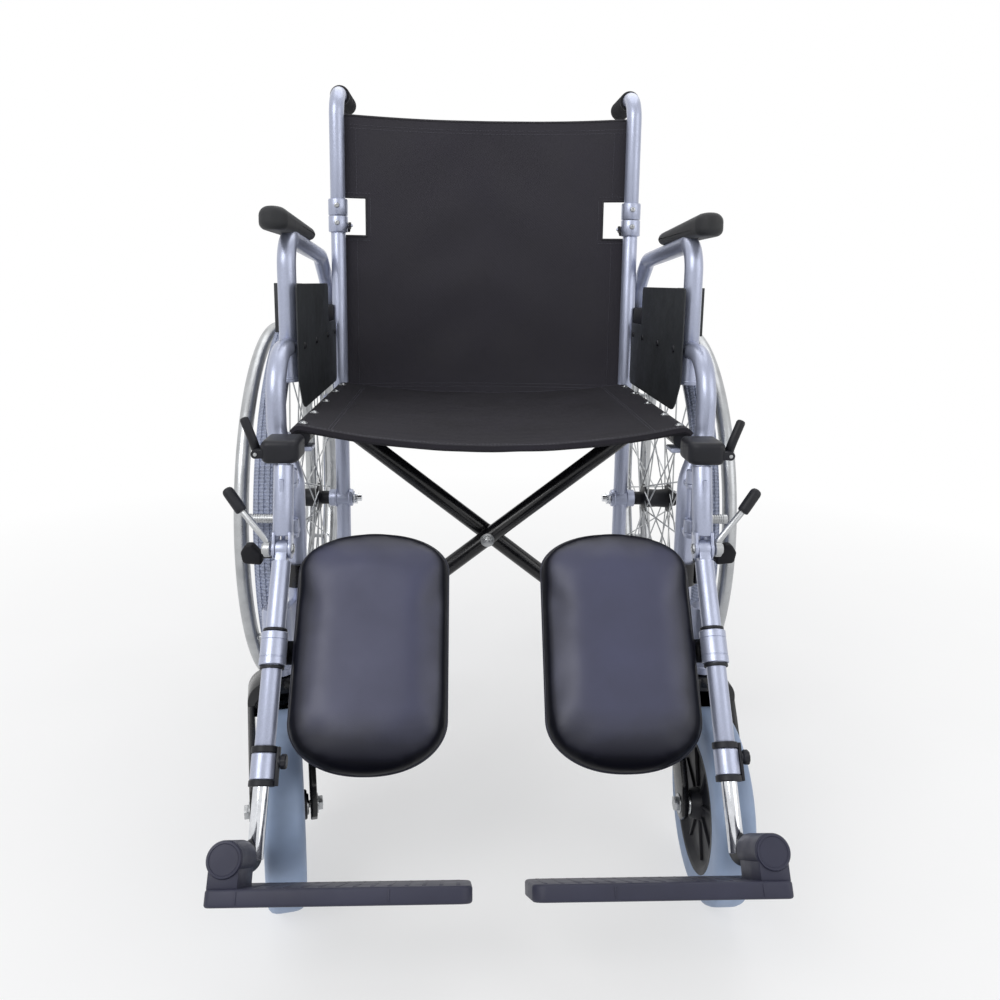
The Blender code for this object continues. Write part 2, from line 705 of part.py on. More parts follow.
def handrim(side, name):
    """Push ring beside the tyre, on stand-offs that meet the rim."""
    centre = place(side * WHEEL_X, 0.0, WHEEL_R)
    hoop = ring(place(side * HANDRIM_X, 0.0, WHEEL_R), (side, 0, 0), HANDRIM_R,
                HANDRIM_TUBE_R, 40, 6)
    foot_r = RIM_OUTER_R - 0.0045
    start_x = WHEEL_X + RIM_WIDTH / 2 + 0.0010
    studs = []
    for index in range(HANDRIM_STUD_COUNT):
        turn = 2 * math.pi * (index + 0.5) / HANDRIM_STUD_COUNT
        direction = Vector((0, math.cos(turn), math.sin(turn)))
        studs.append(rod(place(side * start_x, 0.0, WHEEL_R) + direction * foot_r,
                         place(side * HANDRIM_X, 0.0, WHEEL_R) + direction * HANDRIM_R,
                         STUD_R, 6))
    return combine(name, ZINC, [hoop, *studs], origin=centre)


def rear_axle(side, name):
    """Quick-release axle with its nut inside the frame and its cap outside the hub."""
    def at(x):
        return place(side * x, 0.0, WHEEL_R)
    pin = rod(at(AXLE_INNER_X), at(HUB_OUTER_X + 0.004), AXLE_R)
    nut = rod(at(POST_X - 0.0230), at(POST_X - 0.0155 - GAP), 0.0105, 6)
    cap = rod(at(HUB_OUTER_X + HINGE_GAP), at(HUB_OUTER_X + 0.0055), 0.0110, 10)
    return combine(name, CHROME, [pin, nut, cap])


# Casters. The wheel's centre lies ahead of the stem, as after a push backwards.
def caster_turn(side):
    return RIGHT_CASTER_TURN if side < 0 else 0.0


def caster_point(side, across, ahead, z):
    """A point on a caster: across it to the outside, ahead of its stem."""
    spin = Matrix.Rotation(caster_turn(side), 3, "Z")
    return place(side * STEM_X, STEM_Y, z) + spin @ Vector((side * across, -ahead, 0))


def caster_axis(side):
    return Matrix.Rotation(caster_turn(side), 3, "Z") @ Vector((side, 0, 0))


def caster_fork(side, name):
    """Stem, crown and two arms that run down to the axle bolt."""
    low, high = FORK_CROWN_Z
    stem = rod(caster_point(side, 0, 0, high - 0.001),
               caster_point(side, 0, 0, STEM_HOUSING_Z[1] - 0.0085), STEM_R)
    inner = CASTER_WIDTH / 2 + FORK_GAP
    outer = inner + FORK_THICK
    spin = Matrix.Rotation(caster_turn(side), 4, "Z")
    pieces = [stem]
    crown = rod(caster_point(side, 0, 0, low), caster_point(side, 0, 0, high), 0.0215, 14)
    pieces.append(crown)
    plane = Matrix(((0, 0, 1, 0), (-1, 0, 0, 0), (0, 1, 0, 0), (0, 0, 0, 1)))
    outline = rounded([(-0.019, high - 0.0004), (0.021, high - 0.0004), (0.030, low - 0.022),
                       (0.074, 0.126), (0.080, 0.094), (0.071, 0.084), (0.055, 0.084),
                       (0.047, 0.100), (-0.006, low - 0.030)],
                      [0.006, 0.010, 0.03, 0.012, 0.006, 0.006, 0.006, 0.02, 0.02], 2)
    for sign in (-1, 1):
        middle = caster_point(side, sign * (inner + outer) / 2, 0, 0)
        pieces.append(flat_shape(outline, FORK_THICK, Matrix.Translation(middle) @ spin @ plane))
    pieces.append(block(caster_point(side, 0, 0, (low + high) / 2),
                        (2 * outer - 0.001, 0.040, high - low - 0.002), spin))
    bolt_z = CASTER_R
    pieces.append(rod(caster_point(side, -outer - 0.0065, CASTER_TRAIL, bolt_z),
                      caster_point(side, outer + 0.0065, CASTER_TRAIL, bolt_z), 0.004, 8))
    for sign in (-1, 1):
        pieces.append(rod(caster_point(side, sign * (outer - 0.001), CASTER_TRAIL, bolt_z),
                          caster_point(side, sign * (outer + 0.005), CASTER_TRAIL, bolt_z),
                          0.0085, 6))
    return combine(name, BLACK_PAINT, pieces, origin=caster_point(side, 0, 0, high))


def caster_wheel(side, name):
    """Dished plastic centre of a caster, bored for its bolt."""
    centre = caster_point(side, 0, CASTER_TRAIL, CASTER_R)
    half = CASTER_WIDTH / 2
    bore = 0.004 + GAP
    disc = turned([(bore, -half - 0.004), (0.015, -half - 0.004), (0.018, -half + 0.007),
                   (0.058, -half + 0.007), (CASTER_HUB_R, -half + 0.001),
                   (CASTER_HUB_R, half - 0.001), (0.058, half - 0.007),
                   (0.018, half - 0.007), (0.015, half + 0.004), (bore, half + 0.004)],
                  centre, caster_axis(side), 24)
    return finish(name, GREY_PLASTIC, disc, centre)


def caster_tyre(side, name):
    centre = caster_point(side, 0, CASTER_TRAIL, CASTER_R)
    half = CASTER_WIDTH / 2
    seat = CASTER_HUB_R + GAP
    tyre = turned([(seat, -half + 0.001), (CASTER_R - 0.011, -half), (CASTER_R, -0.012),
                   (CASTER_R, 0.012), (CASTER_R - 0.011, half), (seat, half - 0.001)],
                  centre, caster_axis(side), 24)
    return finish(name, GREY_RUBBER, tyre, centre)


# Upper back and push handles
def upper_back_post(side, name):
    """The folding top of a back post: hinge sleeve, tube and the handle's bend."""
    foot = HINGE_Z + HINGE_GAP
    handle_z = BACK_TOP_Z - 0.0120
    path = bent_path([
        place(side * POST_X, post_y(foot), foot),
        place(side * POST_X, post_y(handle_z), handle_z),
        place(side * POST_X, post_y(handle_z) + HANDLE_LENGTH, handle_z),
    ], [HANDLE_BEND_R])
    bar = tube(path, TUBE_R)
    collar = rod(place(side * POST_X, post_y(foot), foot),
                 place(side * POST_X, post_y(foot + 0.024), foot + 0.024), HINGE_SLEEVE_R, 12)
    hinge = place(side * POST_X, hinge_y(), HINGE_Z)
    pieces = [bar, collar]
    for sign in (-1, 1):
        near, far = Vector((sign * 0.0049, 0, 0)), Vector((sign * 0.0085, 0, 0))
        pieces.append(rod(hinge + near, hinge + far, 0.0040, 8))
        pieces.append(block(hinge + Vector((sign * 0.0067, -0.0040, 0.0072)),
                            (0.0034, 0.0075, 0.0128)))
    pin = rod(hinge - Vector((0.0097, 0, 0)), hinge + Vector((0.0097, 0, 0)), 0.0016, 8)
    return combine(name, SILVER_PAINT, [*pieces, pin], origin=hinge)


def push_grip(side, name):
    """Closed rubber grip over the end of a handle."""
    handle_z = BACK_TOP_Z - 0.0120
    handle_end = post_y(handle_z) + HANDLE_LENGTH
    start = handle_end + 0.004 - GRIP_LENGTH
    bore = TUBE_R + 2 * GAP
    depth = GRIP_LENGTH - 0.0035
    profile = [(0.0, depth), (bore, depth), (bore, 0.0), (0.0135, 0.0), (GRIP_R, 0.004)]
    for index in range(3):
        at = 0.016 + index * 0.022
        profile += [(GRIP_R, at), (GRIP_R - 0.0015, at + 0.0045), (GRIP_R, at + 0.009)]
    profile += [(GRIP_R, GRIP_LENGTH - 0.003), (0.011, GRIP_LENGTH), (0.0, GRIP_LENGTH)]
    grip = turned(profile, place(side * POST_X, start, handle_z), (0, 1, 0), 12)
    return finish(name, BLACK_PLASTIC, grip)


def back_fold_lever(side, name):
    """Small release on the inner side of the lower sleeve, turning on a short pin."""
    y, z = post_y(BACK_LEVER_Z), BACK_LEVER_Z
    boss = rod(place(side * (POST_X - 0.0152), y, z), place(side * (POST_X - 0.0192), y, z),
               0.0050, 10)
    middle = side * (POST_X - 0.0172)
    tab = block(place(middle, y - 0.0065, z - 0.0045), (0.0036, 0.015, 0.0058),
                Matrix.Rotation(math.radians(30), 4, "X"))
    bore = rod(place(side * (POST_X - 0.010), y, z), place(side * (POST_X - 0.030), y, z),
               0.0020 + GAP, 10)
    return combine(name, BLACK_PLASTIC, [boss, tab], [bore], place(middle, y, z))


# Arms
def arm_path(side):
    return bent_path([
        place(side * RAIL_X, ARM_FRONT_Y, ARM_SOCKET_Z[1] + 0.0005),
        place(side * RAIL_X, ARM_FRONT_Y, ARM_TOP_Z),
        place(side * ARM_REAR_X, -0.012, 0.690),
        place(side * 0.2455, 0.024, 0.652),
        place(side * ARM_PIVOT_X, ARM_PIVOT_Y - 0.001, ARM_PIVOT_Z + 0.0165),
    ], [0.035, 0.035, 0.040])


def arm_frame(side, name):
    """The arm's bent tube: it stands on its socket and turns on the rear bracket."""
    bar = tube(arm_path(side), TUBE_R)
    pivot = place(side * ARM_PIVOT_X, ARM_PIVOT_Y, ARM_PIVOT_Z)
    tongue = block(pivot + Vector((0, 0, 0.0115)), (0.0046, 0.017, 0.023))
    eye = rod(pivot - Vector((0.0030, 0, 0)), pivot + Vector((0.0030, 0, 0)), 0.0105, 12)
    bore = rod(pivot - Vector((0.03, 0, 0)), pivot + Vector((0.03, 0, 0)), 0.0035 + GAP, 10)
    return combine(name, SILVER_PAINT, [bar, tongue, eye], [bore], pivot)


def softened(item, width, segments=2):
    """Round a solid's sharp edges."""
    step = item.modifiers.new("round", "BEVEL")
    step.width = width
    step.segments = segments
    step.limit_method = "ANGLE"
    step.angle_limit = math.radians(40)
    return as_mesh(item)


def arm_pad(side, name):
    """Foam rest over the arm's top run, a little below it at the sides."""
    front, rear = PAD_Y
    slope = (0.690 - ARM_TOP_Z) / (-0.012 - ARM_FRONT_Y)
    half_length = (rear - front) / 2
    half_width = PAD_WIDTH / 2
    outline = rounded([(-half_width, -half_length), (half_width, -half_length),
                       (half_width, half_length), (-half_width, half_length)],
                      [0.014, 0.014, 0.010, 0.010], 3)
    mid_y = (front + rear) / 2
    top_z = ARM_TOP_Z + slope * (mid_y - ARM_FRONT_Y) + TUBE_R + 0.0185
    turn = Matrix.Rotation(math.atan(slope), 4, "X")
    centre = place(side * PAD_X, mid_y, top_z - PAD_HEIGHT / 2)
    pad = softened(flat_shape(outline, PAD_HEIGHT, Matrix.Translation(centre) @ turn), 0.006)
    pivot = place(side * ARM_PIVOT_X, ARM_PIVOT_Y, ARM_PIVOT_Z)
    return combine(name, FOAM, [pad], [tube(arm_path(side), TUBE_R + GAP)], pivot)


def side_panel(side, name):
    """Skirt guard inside the rail, with a flange behind the arm's front leg."""
    plate = side_plate(rounded([
        (PANEL_FRONT_Y, PANEL_TOP_Z), (PANEL_FRONT_Y, 0.535), (-0.300, PANEL_BOTTOM_Z),
        (PANEL_REAR_Y, PANEL_BOTTOM_Z), (PANEL_REAR_Y, PANEL_STEP_Z),
        (PANEL_STEP_Y, PANEL_STEP_Z), (PANEL_STEP_Y, PANEL_TOP_Z - 0.003)],
        [0.006, 0.030, 0.030, 0.010, 0.006, 0.004, 0.008], 3), PANEL_THICK, side * PANEL_X)
    flange = block(place(side * (PANEL_X + PANEL_FLANGE_X) / 2, -0.2892,
                         (PANEL_TOP_Z + 0.5865) / 2),
                   (PANEL_FLANGE_X - PANEL_X, PANEL_THICK, PANEL_TOP_Z - 0.5865 - 0.0006))
    return combine(name, PANEL_PLASTIC, [plate, flange])


# Legrests. Turned this way, a solid's Z runs up the leg and its Y to the rear.
LEG_TURN = Matrix.Rotation(-LEG_ANGLE, 4, "X")
KNEE_PIN_R = 0.0030
CHEEK_X = 0.0083


def swing_origin(side):
    return place(side * LEG_X, SWING_Y, (LUG_Z[0] + LUG_Z[1]) / 2)


def leg_rod(x, start, end, radius, sides=10, forward=0.0):
    """A round bar parallel to the leg, between two distances from the knee."""
    return rod(leg_point(x, start, forward), leg_point(x, end, forward), radius, sides)


def leg_block(x, along, forward, size):
    """A block square to the leg: its width, depth and length along the leg."""
    return block(leg_point(x, along, forward), size, LEG_TURN)


LATCH_PIVOT = (0.2492, 0.4735)


def legrest_hanger(side, name):
    """Short tube between the frame's hinge pins and the knee pin."""
    knee = leg_point(side * LEG_X, 0.0)
    top = place(side * LEG_X, HANGER_TOP_Y, HANGER_TOP_Z)
    up = (top - knee).normalized()
    pieces = [rod(knee + up * 0.0138, top, 0.0105)]
    for sign in (-1, 1):
        cheek = Vector((sign * CHEEK_X, 0, 0))
        half = Vector((0.0016, 0, 0))
        pieces.append(rod(knee + cheek - half, knee + cheek + half, 0.0103, 12))
        pieces.append(block(knee + cheek + up * 0.0085, (0.0030, 0.0170, 0.0180),
                            Matrix.Rotation(math.atan2(-up.y, up.z), 4, "X")))
    pieces.append(rod(knee + Vector((side * 0.0194, 0, 0)), knee + Vector((side * 0.0214, 0, 0)),
                      0.0060, 8))
    low = LUG_Z[0] + LUG_THICK + HINGE_GAP
    high = LUG_Z[1] + LUG_THICK + HINGE_GAP
    pieces.append(block(place(side * LEG_X, (-0.478 + SWING_Y) / 2, (low + high + 0.0145) / 2),
                        (0.0044, SWING_Y + 0.478, high - low + 0.0130)))
    bores = []
    for z in (low, high):
        pieces.append(rod(place(side * LEG_X, SWING_Y, z),
                          place(side * LEG_X, SWING_Y, z + 0.0150), 0.0085, 10))
        bores.append(rod(place(side * LEG_X, SWING_Y, z - 0.0060),
                         place(side * LEG_X, SWING_Y, z + 0.0200), 0.0040 + GAP, 12))
    eye_room = Vector((0.0065, 0, 0))
    bores.append(rod(knee - eye_room, knee + eye_room, 0.0112, 16))
    bores.append(block(place(side * LEG_X, SWING_Y, high - LUG_THICK / 2 - 0.0008),
                       (0.030, 0.024, LUG_THICK + 0.0017)))
    hanger = combine(name, SILVER_PAINT, pieces, bores)
    pin = rod(knee - Vector((side * 0.0115, 0, 0)), knee + Vector((side * 0.0225, 0, 0)),
              KNEE_PIN_R, 8)
    return combine(name, SILVER_PAINT, [hanger, pin], origin=swing_origin(side))


def latch_housing(side, name):
    """Black block on the hanger's top with two ears for the latch lever."""
    low, high = 0.4633, 0.4880
    outline = rounded([(0.205, -0.474), (0.244, -0.474), (0.244, -0.427), (0.205, -0.427)],
                      [0.012, 0.008, 0.006, 0.006], 3)
    plan = [(side * x, AXLE_Y + y) for x, y in outline]
    body = flat_shape(plan, high - low, Matrix.Translation((0, 0, (low + high) / 2)))
    pieces = [softened(body, 0.003, 1)]
    x, z = LATCH_PIVOT
    for y0, y1 in ((-0.4722, -0.4686), (-0.4474, -0.4438)):
        pieces.append(rod(place(side * x, y0, z), place(side * x, y1, z), 0.0047, 8))
        pieces.append(block(place(side * (x - 0.0035), (y0 + y1) / 2, z),
                            (0.009, y1 - y0 - 0.0002, 0.0090)))
    pieces.append(rod(place(side * x, -0.4730, z), place(side * x, -0.4430, z), 0.0020, 8))
    return combine(name, BLACK_PLASTIC, pieces, origin=swing_origin(side))


def legrest_latch(side, name):
    """Lever that frees the legrest to swing away, turning on the housing's pin."""
    x, z = LATCH_PIVOT
    barrel = rod(place(side * x, -0.4682, z), place(side * x, -0.4478, z), 0.0044, 8)
    bar = tube(bent_path([place(side * (x + 0.001), -0.458, z), place(side * 0.2575, -0.458, 0.487),
                          place(side * 0.268, -0.457, 0.503)], [0.01], 2), 0.0042)
    bore = rod(place(side * x, -0.49, z), place(side * x, -0.42, z), 0.0020 + GAP, 8)
    return combine(name, BLACK_PLASTIC, [barrel, bar], [bore], place(side * x, -0.458, z))


def leg_tube(side, name):
    """Outer leg tube, its knee eye, two stop rings and a flared mouth."""
    x = side * LEG_X
    knee = leg_point(x, 0.0)
    half = Vector((0.0062, 0, 0))
    pieces = [rod(knee - half, knee + half, 0.0096, 12),
              leg_block(x, 0.0105, 0.0, (0.0120, 0.0150, 0.0190)),
              leg_rod(x, 0.0145, LEG_TUBE_END, LEG_R, 12)]
    for start in (CALF_BRACKET_AT - 0.0200, CALF_BRACKET_AT + 0.0168):
        pieces.append(leg_rod(x, start, start + 0.0032, 0.0120, 12))
    pieces.append(leg_rod(x, 0.2024, 0.2258, 0.0117, 12))
    bores = [rod(knee - 2 * half, knee + 2 * half, KNEE_PIN_R + GAP, 10),
             leg_rod(x, 0.050, 0.30, INNER_LEG_R + GAP, 12)]
    return combine(name, SILVER_PAINT, pieces, bores, knee)


def height_clamp(side, name):
    """Two black rings and a knob at the mouth of the leg tube, both knobs to the left."""
    x = side * LEG_X
    rings = []
    for inner, start, end in ((LEG_R + GAP, 0.1960, 0.2020),
                              (INNER_LEG_R + GAP, 0.2262, 0.2320)):
        middle = (start + end) / 2
        half = (end - start) / 2
        rings.append(turned([(inner, -half), (0.0124, -half), (0.0124, half), (inner, half)],
                            leg_point(x, middle), leg_point(x, start) - leg_point(x, end), 12))
    spine = leg_block(x + 0.0136, 0.2140, 0.0, (0.0030, 0.0070, 0.0350))
    at = leg_point(x, 0.2100)
    knob = rod(at + Vector((0.0140, 0, 0)), at + Vector((0.0220, 0, 0)), 0.0072, 8)
    return combine(name, BLACK_PLASTIC, [*rings, spine, knob], origin=leg_point(x, 0.0))


def elevation_lever(side, name):
    """Handle on the end of the knee pin that frees the leg's ratchet."""
    knee = leg_point(side * LEG_X, 0.0)
    boss = rod(knee + Vector((side * 0.0125, 0, 0)), knee + Vector((side * 0.0190, 0, 0)),
               0.0085, 10)
    bar = tube([place(side * 0.2374, KNEE_Y, KNEE_Z + 0.0075),
                place(side * 0.2400, -0.4812, 0.3905),
                place(side * 0.2740, -0.4745, 0.4200)], 0.0034)
    grip = rod(place(side * 0.2690, -0.4760, 0.4138), place(side * 0.2860, -0.4712, 0.4356),
               0.0062, 8)
    bore = rod(knee, knee + Vector((side * 0.04, 0, 0)), KNEE_PIN_R + GAP, 10)
    return combine(name, ZINC, [boss, bar, grip], [bore], knee)


def inner_tube(side, name):
    """Chromed tube that slides in the leg, with the footplate's hinge block and pin."""
    x, hinge_x = side * LEG_X, side * FOOT_HINGE_X
    bar = leg_rod(x, 0.1250, INNER_LEG_END + 0.002, INNER_LEG_R)
    hub = rod(leg_point(hinge_x, INNER_LEG_END, -0.0180), leg_point(hinge_x, INNER_LEG_END, 0.0116),
              0.0140, 12)
    pin = rod(leg_point(hinge_x, INNER_LEG_END, -0.0172), leg_point(hinge_x, INNER_LEG_END, 0.0600),
              0.0050, 8)
    return combine(name, CHROME, [bar, hub, pin], origin=leg_point(x, INNER_LEG_END))


def footplate(side, name):
    """Plate with a closed barrel in front of the hinge block."""
    hinge_x = side * FOOT_HINGE_X
    origin = leg_point(hinge_x, INNER_LEG_END)
    top = INNER_LEG_END + FOOT_DROP
    outline = rounded([(FOOT_INNER_X, -FOOT_FORWARD), (FOOT_OUTER_X, -FOOT_FORWARD),
                       (FOOT_OUTER_X, FOOT_BACK), (FOOT_INNER_X, FOOT_BACK)],
                      [0.010, 0.006, 0.006, 0.014], 3)
    plan = [(side * px, py) for px, py in outline]
    centre = leg_point(0.0, top + FOOT_THICK / 2, 0.0)
    plate = flat_shape(plan, FOOT_THICK, Matrix.Translation(centre) @ LEG_TURN)
    pieces = [softened(plate, 0.002, 1)]
    start, end = 0.0120, FOOT_FORWARD - 0.003
    pieces.append(rod(leg_point(hinge_x, INNER_LEG_END, start),
                      leg_point(hinge_x, INNER_LEG_END, end), FOOT_HINGE_R, 16))
    pieces.append(leg_block(hinge_x, INNER_LEG_END + 0.0140, (start + end) / 2,
                            (0.0260, end - start - 0.0006, 0.0190)))
    bores = [rod(leg_point(hinge_x, INNER_LEG_END, 0.0050),
                 leg_point(hinge_x, INNER_LEG_END, 0.0606), 0.0050 + GAP, 10)]
    return combine(name, GREY_PLASTIC, pieces, bores, origin)


def calf_pad(side, name):
    """Padded board behind the calf, round-ended and softened."""
    half_width, half_length = CALF_WIDTH / 2, CALF_LENGTH / 2
    outline = []
    for index in range(24):
        turn = 2 * math.pi * (index + 0.5) / 24
        crown = 0.050 if math.sin(turn) < 0 else 0.040
        straight = half_length - crown
        across = half_width * math.copysign(abs(math.cos(turn)) ** 0.9, math.cos(turn))
        up = math.copysign(straight, math.sin(turn)) + crown * math.sin(turn)
        outline.append((across, up))
    matrix = (Matrix.Translation(leg_point(side * CALF_X, CALF_CENTRE)) @ LEG_TURN
              @ Matrix.Rotation(math.radians(90), 4, "X"))
    pad = softened(flat_shape(outline, CALF_THICK, matrix), 0.0130, 3)
    return finish(name, VINYL, pad, leg_point(side * LEG_X, CALF_BRACKET_AT))


def calf_bracket(side, name):
    """Sleeve that turns on the leg tube and the arm behind the calf pad."""
    x = side * LEG_X
    at = CALF_BRACKET_AT
    sleeve = leg_rod(x, at - 0.0162, at + 0.0162, 0.0134, 12)
    back = CALF_THICK / 2 + GAP + 0.0020
    inner, outer = CALF_X - 0.010, LEG_X + 0.0100
    arm = leg_block(side * (inner + outer) / 2, at, -back, (outer - inner, 0.0040, 0.0240))
    neck = leg_block(x, at, -0.0145, (0.0180, 0.0090, 0.0236))
    disc = rod(leg_point(side * (CALF_X + 0.004), at, -back - 0.0019),
               leg_point(side * (CALF_X + 0.004), at, -back + 0.0019), 0.0240, 12)
    bore = leg_rod(x, at - 0.030, at + 0.030, LEG_R + HINGE_GAP, 14)
    return combine(name, BLACK_PAINT, [sleeve, arm, neck, disc], [bore], leg_point(x, at))


# Brakes
def brake_body(side, name):
    """Clamp round the front post and the plate that carries the brake's pivot."""
    y, z = BRAKE_PIVOT_Y, BRAKE_PIVOT_Z
    clamp = rod(place(side * FRONT_POST_X, FRONT_POST_Y, z - 0.0135),
                place(side * FRONT_POST_X, FRONT_POST_Y, z + 0.0135), 0.0150, 12)
    front = FRONT_POST_Y - 0.010
    outline = rounded([(front, z + 0.0120), (front, z - 0.0120),
                       (y + 0.010, z - 0.0110), (y + 0.010, z + 0.0110)],
                      [0.003, 0.003, 0.008, 0.008], 3)
    plate = side_plate(outline, 0.0040, side * 0.2362)
    ear = block(place(side * 0.2300, FRONT_POST_Y, z), (0.0120, 0.0160, 0.0230))
    pin = rod(place(side * 0.2350, y, z), place(side * 0.2476, y, z), 0.0035, 8)
    cap = rod(place(side * 0.2457, y, z), place(side * 0.2483, y, z), 0.0062, 8)
    bore = rod(place(side * FRONT_POST_X, FRONT_POST_Y, z - 0.03),
               place(side * FRONT_POST_X, FRONT_POST_Y, z + 0.03), TUBE_R + GAP, 14)
    return combine(name, BLACK_PAINT, [clamp, plate, ear, pin, cap], [bore],
                   place(side * 0.2362, y, z))


def brake_lever(side, name):
    """Lever with a grip in front of the pivot and a shoe bar behind it."""
    y, z = BRAKE_PIVOT_Y, BRAKE_PIVOT_Z
    middle = side * 0.2419
    boss = rod(place(side * 0.2388, y, z), place(side * 0.2450, y, z), 0.0090, 10)
    reach = Vector((0, SHOE_Y - y, SHOE_Z - z))
    arm = block(place(middle, (y + SHOE_Y) / 2, (z + SHOE_Z) / 2),
                (0.0054, 0.0100, reach.length + 0.004),
                Matrix.Rotation(math.atan2(-reach.y, reach.z), 4, "X"))
    shoe = rod(place(side * 0.2395, SHOE_Y, SHOE_Z),
               place(side * (WHEEL_X + 0.0180), SHOE_Y, SHOE_Z), SHOE_R, 10)
    bar = tube(bent_path([place(side * 0.2431, y - 0.0076, z + 0.0020),
                          place(side * 0.2450, y - 0.0200, z + 0.0050),
                          place(side * 0.2820, y - 0.0510, z + 0.0135)], [0.008], 2), 0.0040)
    grip = rod(place(side * 0.2690, y - 0.0395, z + 0.0110),
               place(side * 0.2890, y - 0.0572, z + 0.0150), 0.0085, 12, 0.0100)
    bore = rod(place(side * 0.2300, y, z), place(side * 0.2600, y, z), 0.0035 + GAP, 10)
    return combine(name, BLACK_PLASTIC, [boss, arm, shoe, bar, grip], [bore], place(middle, y, z))


# Assembly
PIECES = {
    "side_frame": side_frame,
    "arm_hinge_bracket": arm_hinge_bracket,
    "upper_back_post": upper_back_post,
    "push_grip": push_grip,
    "back_fold_lever": back_fold_lever,
    "arm_frame": arm_frame,
    "arm_pad": arm_pad,
    "side_panel": side_panel,
    "rear_wheel": rear_wheel,
    "rear_tyre": rear_tyre,
    "handrim": handrim,
    "rear_axle": rear_axle,
    "caster_fork": caster_fork,
    "caster_wheel": caster_wheel,
    "caster_tyre": caster_tyre,
    "legrest_hanger": legrest_hanger,
    "latch_housing": latch_housing,
    "legrest_latch": legrest_latch,
    "leg_tube": leg_tube,
    "height_clamp": height_clamp,
    "elevation_lever": elevation_lever,
    "inner_tube": inner_tube,
    "footplate": footplate,
    "calf_pad": calf_pad,
    "calf_bracket": calf_bracket,
    "brake_body": brake_body,
    "brake_lever": brake_lever,
}
for side, word in ((1, "left"), (-1, "right")):
    for piece, build in PIECES.items():
        build(side, f"{word}_{piece}")
cross_tube("cross_tube_a", 1, CROSS_OFFSET)
cross_tube("cross_tube_b", -1, -CROSS_OFFSET)
cross_bolt()
seat_sling()
back_sling()
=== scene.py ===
"""Visual pieces of a folding wheelchair with elevating legrests.

Metres, +Z up. The chair faces -Y and the occupant's left side is +X.
"""
import math

import bmesh
import bpy
from mathutils import Matrix, Vector, noise


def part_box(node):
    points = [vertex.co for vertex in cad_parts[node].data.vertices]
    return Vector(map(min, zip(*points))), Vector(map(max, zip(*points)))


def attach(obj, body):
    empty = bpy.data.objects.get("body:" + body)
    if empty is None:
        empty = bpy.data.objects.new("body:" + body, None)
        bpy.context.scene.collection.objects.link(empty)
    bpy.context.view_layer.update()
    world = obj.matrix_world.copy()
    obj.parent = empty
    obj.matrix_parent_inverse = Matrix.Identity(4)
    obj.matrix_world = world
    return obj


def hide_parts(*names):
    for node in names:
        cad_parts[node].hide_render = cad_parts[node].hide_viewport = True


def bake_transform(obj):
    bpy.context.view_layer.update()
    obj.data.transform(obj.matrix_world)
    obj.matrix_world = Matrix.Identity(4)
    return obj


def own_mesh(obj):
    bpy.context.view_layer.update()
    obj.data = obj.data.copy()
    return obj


bl_info = {
    "name": "Folding wheelchair",
    "version": (1, 0, 0),
    "blender": (4, 5, 0),
    "location": "3D View > Sidebar > Chair",
    "description": "Builds the visible pieces of a folding wheelchair around its frame",
    "category": "Add Mesh",
}

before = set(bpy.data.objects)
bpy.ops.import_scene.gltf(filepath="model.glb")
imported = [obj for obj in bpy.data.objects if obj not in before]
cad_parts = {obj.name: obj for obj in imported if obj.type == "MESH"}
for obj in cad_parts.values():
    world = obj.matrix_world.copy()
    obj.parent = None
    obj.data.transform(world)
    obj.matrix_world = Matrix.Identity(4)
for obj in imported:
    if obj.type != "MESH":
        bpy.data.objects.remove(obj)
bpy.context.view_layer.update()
MM = 0.001
SIDES = ((1, "left"), (-1, "right"))

# Frame tubes. X is from the chair's middle, Y from the rear axle and Z from the floor.
AXLE_Y = 0.2124655
FIT = 0.0003
TUBE_R = 0.0111
POST_X = 0.2225
POST_STRAIGHT_Z = 0.500
POST_LEAN = math.radians(1.4)
HINGE_Z = 0.742
HANDLE_Z = 0.923
HANDLE_LENGTH = 0.128
GRIP_REACH = 0.088
RAIL_X = 0.243
RAIL_Z = 0.571
FRONT_POST_X = 0.222
FRONT_POST_Y = -0.405
LOWER_RAIL_X = 0.215
LOWER_RAIL_Z = 0.145
COLLAR_R = 0.0145
HINGE_GAP = 0.0004
HINGE_BACK = 0.019
RELEASE_Z = 0.728
SEAT_TUBE_X = 0.215
SEAT_TUBE_Z = 0.479
CROSS_Y = -0.225
CROSS_APART = 0.013

# Wheels
WHEEL_R = 0.305
WHEEL_X = 0.281
RIM_R = 0.277
RIM_HALF = 0.012
HUB_OUTER = 0.031
SPOKES = 36
SPOKE_SLANT = math.radians(62)
STANDOFFS = 6
TYRE_STEPS = 480
TREAD_CUT = 0.0016
TREAD_ROW = 0.005
KNURLS = 420.0
HANDRIM_X = 0.3185
HANDRIM_R = 0.268
STEM_X = 0.236
STEM_Y = -0.455
CASTER_R = 0.100
CASTER_TRAIL = 0.065
CASTER_HUB_R = 0.070
CASTER_RIBS = 8
CASTER_TURN = {1: 0.0, -1: math.radians(12.0)}

